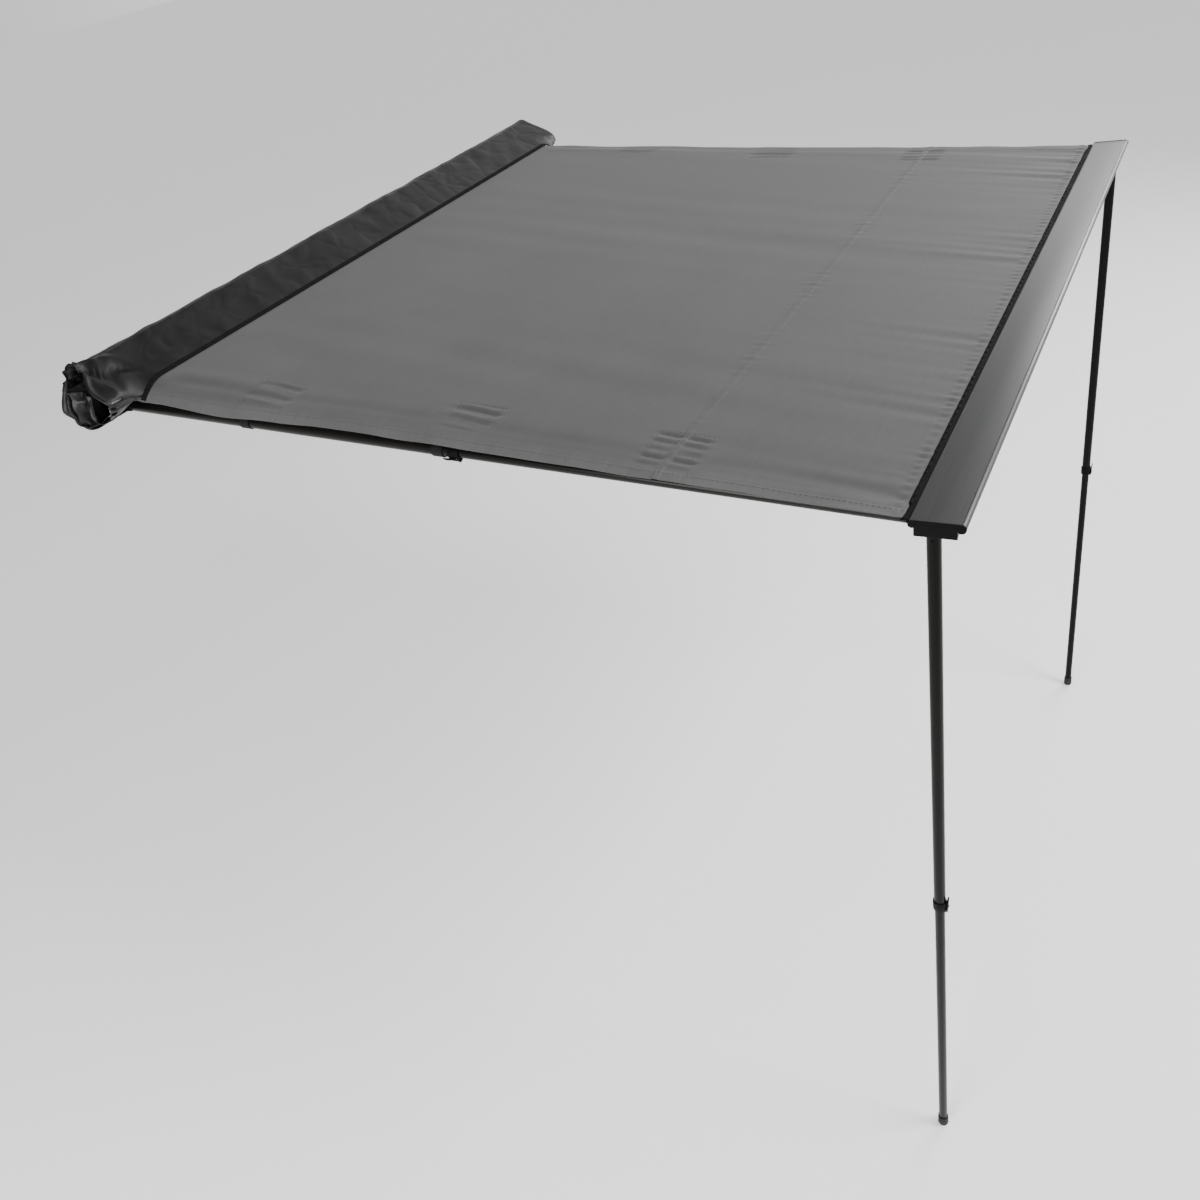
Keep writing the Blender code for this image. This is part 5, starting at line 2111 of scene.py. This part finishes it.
    def flap(self) -> Piece:
        """The near end's closing panel, pushed into the mouth in folds.

        Returns:
            The flap piece.
        """
        rim_share = np.linspace(0.97, 0.40, 46)
        section = self.gusset_path(rim_share)
        reach = self.mouth(Side.NEAR, section[:, 0], section[:, 1])
        inward = np.linspace(0, 1, 34)
        grid = []
        for depth in inward:
            lean = 0.058 * depth
            hollow = 0.030 * math.sin(math.pi * min(depth, 0.8))
            x = section[:, 0] + 0.0012 + lean * (0.9 + 0.2 * np.sin(9 * rim_share))
            y = -(self.end_start + reach - 0.003 - hollow)
            z = section[:, 1] + 0.016 * depth * np.cos(np.pi * (rim_share - 0.4) / 0.57)
            grid.append(np.stack([x, y, z], axis=1))
        points = np.array(grid)
        bumps = self.crushed(points[..., 2] * 1.1 + 2.0, points[..., 0], 0.052, 23.0)
        free = smoothstep(inward / 0.3)[:, None]
        points[..., 1] += -0.010 * bumps * free
        points[..., 0] += 0.004 * bumps * free
        return self.cloth(grid_mesh("flap", points), (1, -1, 0.4), "bag_end_near_flap")

    def cuff(self) -> Piece:
        """The near mouth's rim at the back, turned outward in a loose roll.

        Returns:
            The cuff piece.
        """
        steps = np.linspace(0, 1, 60)
        back = self.gusset_path(0.74 + 0.26 * np.linspace(0, 1, 24))
        over = self.top_path(-1.03, np.linspace(0.01, 0.27, 26))
        rim = smooth_path(np.vstack([back, over])[::4], steps)
        reach, out = self.mouth(Side.NEAR, rim[:, 0], rim[:, 1]), outward(rim)
        width = smoothstep(steps / 0.2) * smoothstep((1 - steps) / 0.45)
        radius = 0.0015 + width * (0.0085 + 0.0022 * np.sin(9 * steps + 0.6))
        grid = []
        for turn in np.radians(np.linspace(-60, 235, 26)):
            away, back_off = radius * (1 - np.cos(turn)) - 0.001, radius * np.sin(turn)
            y = -(self.end_start + reach - 0.006 + back_off)
            spot = rim + out * away[:, None]
            grid.append(np.stack([spot[:, 0], y, spot[:, 1]], axis=1))
        points = np.array(grid)
        points[..., 0] -= 0.0015 * self.crushed(points[..., 1] * 1.2, points[..., 2], 0.060, 41.0)
        mesh, thickness = grid_mesh("cuff", points), self.cuff_thickness
        return self.cloth(mesh, (-1, -1, 0), "bag_end_near_cuff", thickness=thickness)

    def lower_wave(self, ys: np.ndarray) -> np.ndarray:
        """How the lower panel's free edge waves along the bag, -1 to 1."""
        return Ripples(37, (0.12, 0.21, 0.34), skew=0.1, fade=0.7)(ys * 0, ys)

    def lower(self) -> Piece:
        """The lower panel under the backboard.

        Returns:
            The lower panel piece.
        """
        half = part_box("bag_lower_panel")[1].y
        knots = [(-0.0022, -0.0465), (-0.003, -0.0555), (-0.0005, -0.0585), (0.016, -0.0595)]
        knots.append((0.030, -0.059))
        ys, shares = np.linspace(-half, half, 300), np.linspace(0, 1, 19)
        section = smooth_path(knots, shares)
        free = smoothstep((shares - 0.35) / 0.6)
        rows = []
        for y, lift in zip(ys, self.lower_wave(ys)):
            path = section + np.stack([0.0015 * lift * free, 0.0018 * lift * free], axis=1)
            rows.append(np.stack([path[:, 0], np.full_like(shares, y), path[:, 1]], axis=1))
        mesh = grid_mesh("bag_lower", np.array(rows))
        return self.cloth(mesh, (0, 0, -1), "bag_lower_finished", ["bag_lower_panel"])

    def seam_tape(self) -> Piece:
        """The dark tape over the seam of bag and canopy.

        Returns:
            The tape piece.
        """
        width, thickness, end = 0.014, 0.0022, 0.998
        ys = np.arange(-end, end + 0.0001, 0.006)
        z = self.canopy.height(np.full_like(ys, self.seam_x), ys) + self.seam_lift + 0.0012
        path = np.stack([np.full_like(ys, self.seam_x + 0.0015), ys, z], axis=1)
        mesh = ribbon("seam_tape", path, (1, 0, -0.45), width, thickness)
        return BASE.carry("seam_tape", mesh, self.finishes.tape, "webbing")

    def zip_line(
        self, name: str, path: np.ndarray, across: Sequence[float], width: float = 0.013
    ) -> None:
        """A zip half: its tape and its row of metal teeth.

        Args:
            name: the pieces' first name.
            path: the tape's middle line.
            across: the way from the tape to its teeth.
            width: the tape's width.
        """
        metal, pitch, thickness = self.finishes.zip_metal, 0.0036, 0.0011
        tape = ribbon(name, path, across, width, thickness)
        BASE.carry(f"{name}_tape", tape, self.finishes.tape, "bag_cloth")
        toward = np.array(across, float)
        line = path + toward / np.linalg.norm(toward) * (width / 2 + 0.0007)
        tooth, name = tooth_shape(0.0022, 0.0042, 0.0030), f"{name}_teeth"
        mesh = self.repeat.run(name, [line], tooth, pitch, metal, wander=0.0)
        BASE.carry(name, mesh, metal, "zinc_steel")

    def zips(self) -> None:
        """The zip's lower half on the lower panel, and its open ends at the near mouth."""
        ys = np.arange(-0.990, 0.9901, 0.006)
        wave = self.lower_wave(ys)
        edge = np.stack([0.0215 + 0.0015 * wave, ys, -0.0606 + 0.0018 * wave], axis=1)
        self.zip_line("lower_zip", edge, (1, 0, 0.05))
        ys = np.arange(-1.078, -1.0439, 0.004)
        front = np.array([self.top_path(y, np.array([0.965]))[0] for y in ys])
        lobe = np.stack([front[:, 0] + 0.0010, ys, front[:, 1] + 0.0022], axis=1)
        self.zip_line("near_mouth_zip", lobe, (0.5, 0, -1), 0.008)
        x, z = self.gusset_path(np.linspace(0.10, 0.36, 30)).T
        reach = self.mouth(Side.NEAR, x, z)
        lip = np.stack([x, -(self.end_start + reach - 0.008), z + 0.0035], axis=1)
        self.zip_line("near_lip_zip", lip, (-0.3, -1, 0.3))

    def build(self) -> None:
        """Make the bag's pieces."""
        top = self.top()
        lower = self.lower()
        ends = [self.gusset(side) for side in Side]
        flap = self.flap()
        cuff = self.cuff()
        self.seam_tape()
        self.zips()


# Studio


@dataclass
class Studio:
    """Camera, floor and soft lights."""

    layout: Layout
    finishes: Finishes
    lens: float = 30.128
    camera_at: tuple[float, float, float] = (2.37253, -2.34878, 0.78374)
    camera_turn: tuple[float, float, float] = (53.86678, 11.83009, 28.55580)
    floor_half: float = 150.0

    def camera(self) -> None:
        """Put the camera where the photograph was taken."""
        data = bpy.data.cameras.new("camera")
        data.lens = self.lens
        data.clip_end = 1000
        camera = placed("camera", data)
        camera.location = self.camera_at
        camera.rotation_euler = Euler([math.radians(a) for a in self.camera_turn])
        bpy.context.scene.camera = camera

    def floor(self) -> None:
        """A plain pale floor under the feet."""
        r, z = self.floor_half, self.layout.floor
        mesh = bpy.data.meshes.new("floor")
        mesh.from_pydata([(-r, -r, z), (r, -r, z), (r, r, z), (-r, r, z)], [], [(0, 1, 2, 3)])
        mesh.materials.append(self.finishes.paper)
        floor = placed("floor", mesh)

    def walls(self) -> None:
        """Bright walls all round under a darker ceiling."""
        world = bpy.data.worlds.new("studio")
        world.use_nodes = True
        tree = world.node_tree
        seen = add(tree, "ShaderNodeTexCoord").outputs["Generated"]
        up = add(tree, "ShaderNodeSeparateXYZ", {0: seen}).outputs["Z"]
        rise = {"Value": up, "From Min": 0.05, "From Max": 0.85}
        height = add(tree, "ShaderNodeMapRange", rise).outputs["Result"]
        tones = {0: height, MIX_A: linear("FFFFFF"), MIX_B: linear("9A9A9C")}
        tone = add(tree, "ShaderNodeMix", tones, data_type="RGBA")
        aim = {0: seen, 1: (0.70, 0.60, 0.0)}
        toward = add(tree, "ShaderNodeVectorMath", aim, operation="DOT_PRODUCT").outputs["Value"]
        spread = {"Value": toward, "From Min": -0.55, "From Max": 0.65, "To Min": 0.22}
        depth = add(tree, "ShaderNodeMapRange", spread).outputs["Result"]
        strength = add(tree, "ShaderNodeMath", {0: depth, 1: 2.1}, operation="MULTIPLY")
        backdrop = tree.nodes["Background"]
        tree.links.new(tone.outputs[MIX_OUT], backdrop.inputs["Color"])
        tree.links.new(strength.outputs[0], backdrop.inputs["Strength"])
        bpy.context.scene.world = world

    def light(
        self,
        name: str,
        place: Sequence[float],
        aim: Sequence[float],
        size: float,
        power: float,
    ) -> None:
        """Hang one square soft box.

        Args:
            name: the light's name.
            place: where it hangs.
            aim: what it points at.
            size: its side.
            power: its power in watts.
        """
        data = bpy.data.lights.new(name, "AREA")
        data.size, data.energy = size, power
        lamp = placed(name, data)
        lamp.visible_camera = False
        lamp.location = place
        lamp.rotation_euler = (Vector(aim) - Vector(place)).to_track_quat("-Z", "Y").to_euler()

    def build(self) -> None:
        """Set up the studio."""
        self.camera()
        self.floor()
        self.walls()
        self.light("key", (5.0, 0.2, 3.0), (1.2, 0.0, -0.1), 1.8, 260)
        self.light("rim", (3.6, 5.4, 2.2), (1.2, 0.3, -0.1), 2.8, 250)
        self.light("fill", (0.8, -5.2, 0.9), (1.0, -0.6, -0.1), 2.4, 230)


def main() -> None:
    """Build the awning in order."""
    logging.basicConfig(level=logging.INFO, format="%(name)s: %(message)s")
    layout = Layout.read()
    finishes = Finishes.make()
    repeat = RepeatTool()
    canopy = Canopy(layout, finishes, repeat)
    assemblies = [
        Studio(layout, finishes),
        Backboard(finishes),
        canopy,
        Bag(layout, finishes, repeat, canopy),
        FrontRail(layout, finishes, repeat),
    ]
    assemblies += [Arm(side, finishes, repeat) for side in Side]
    assemblies += [Leg(side, layout, finishes, repeat) for side in Side]
    for assembly in assemblies:
        assembly.build()
        LOG.info("%s is built", type(assembly).__name__)


if __name__ == "__main__":
    main()
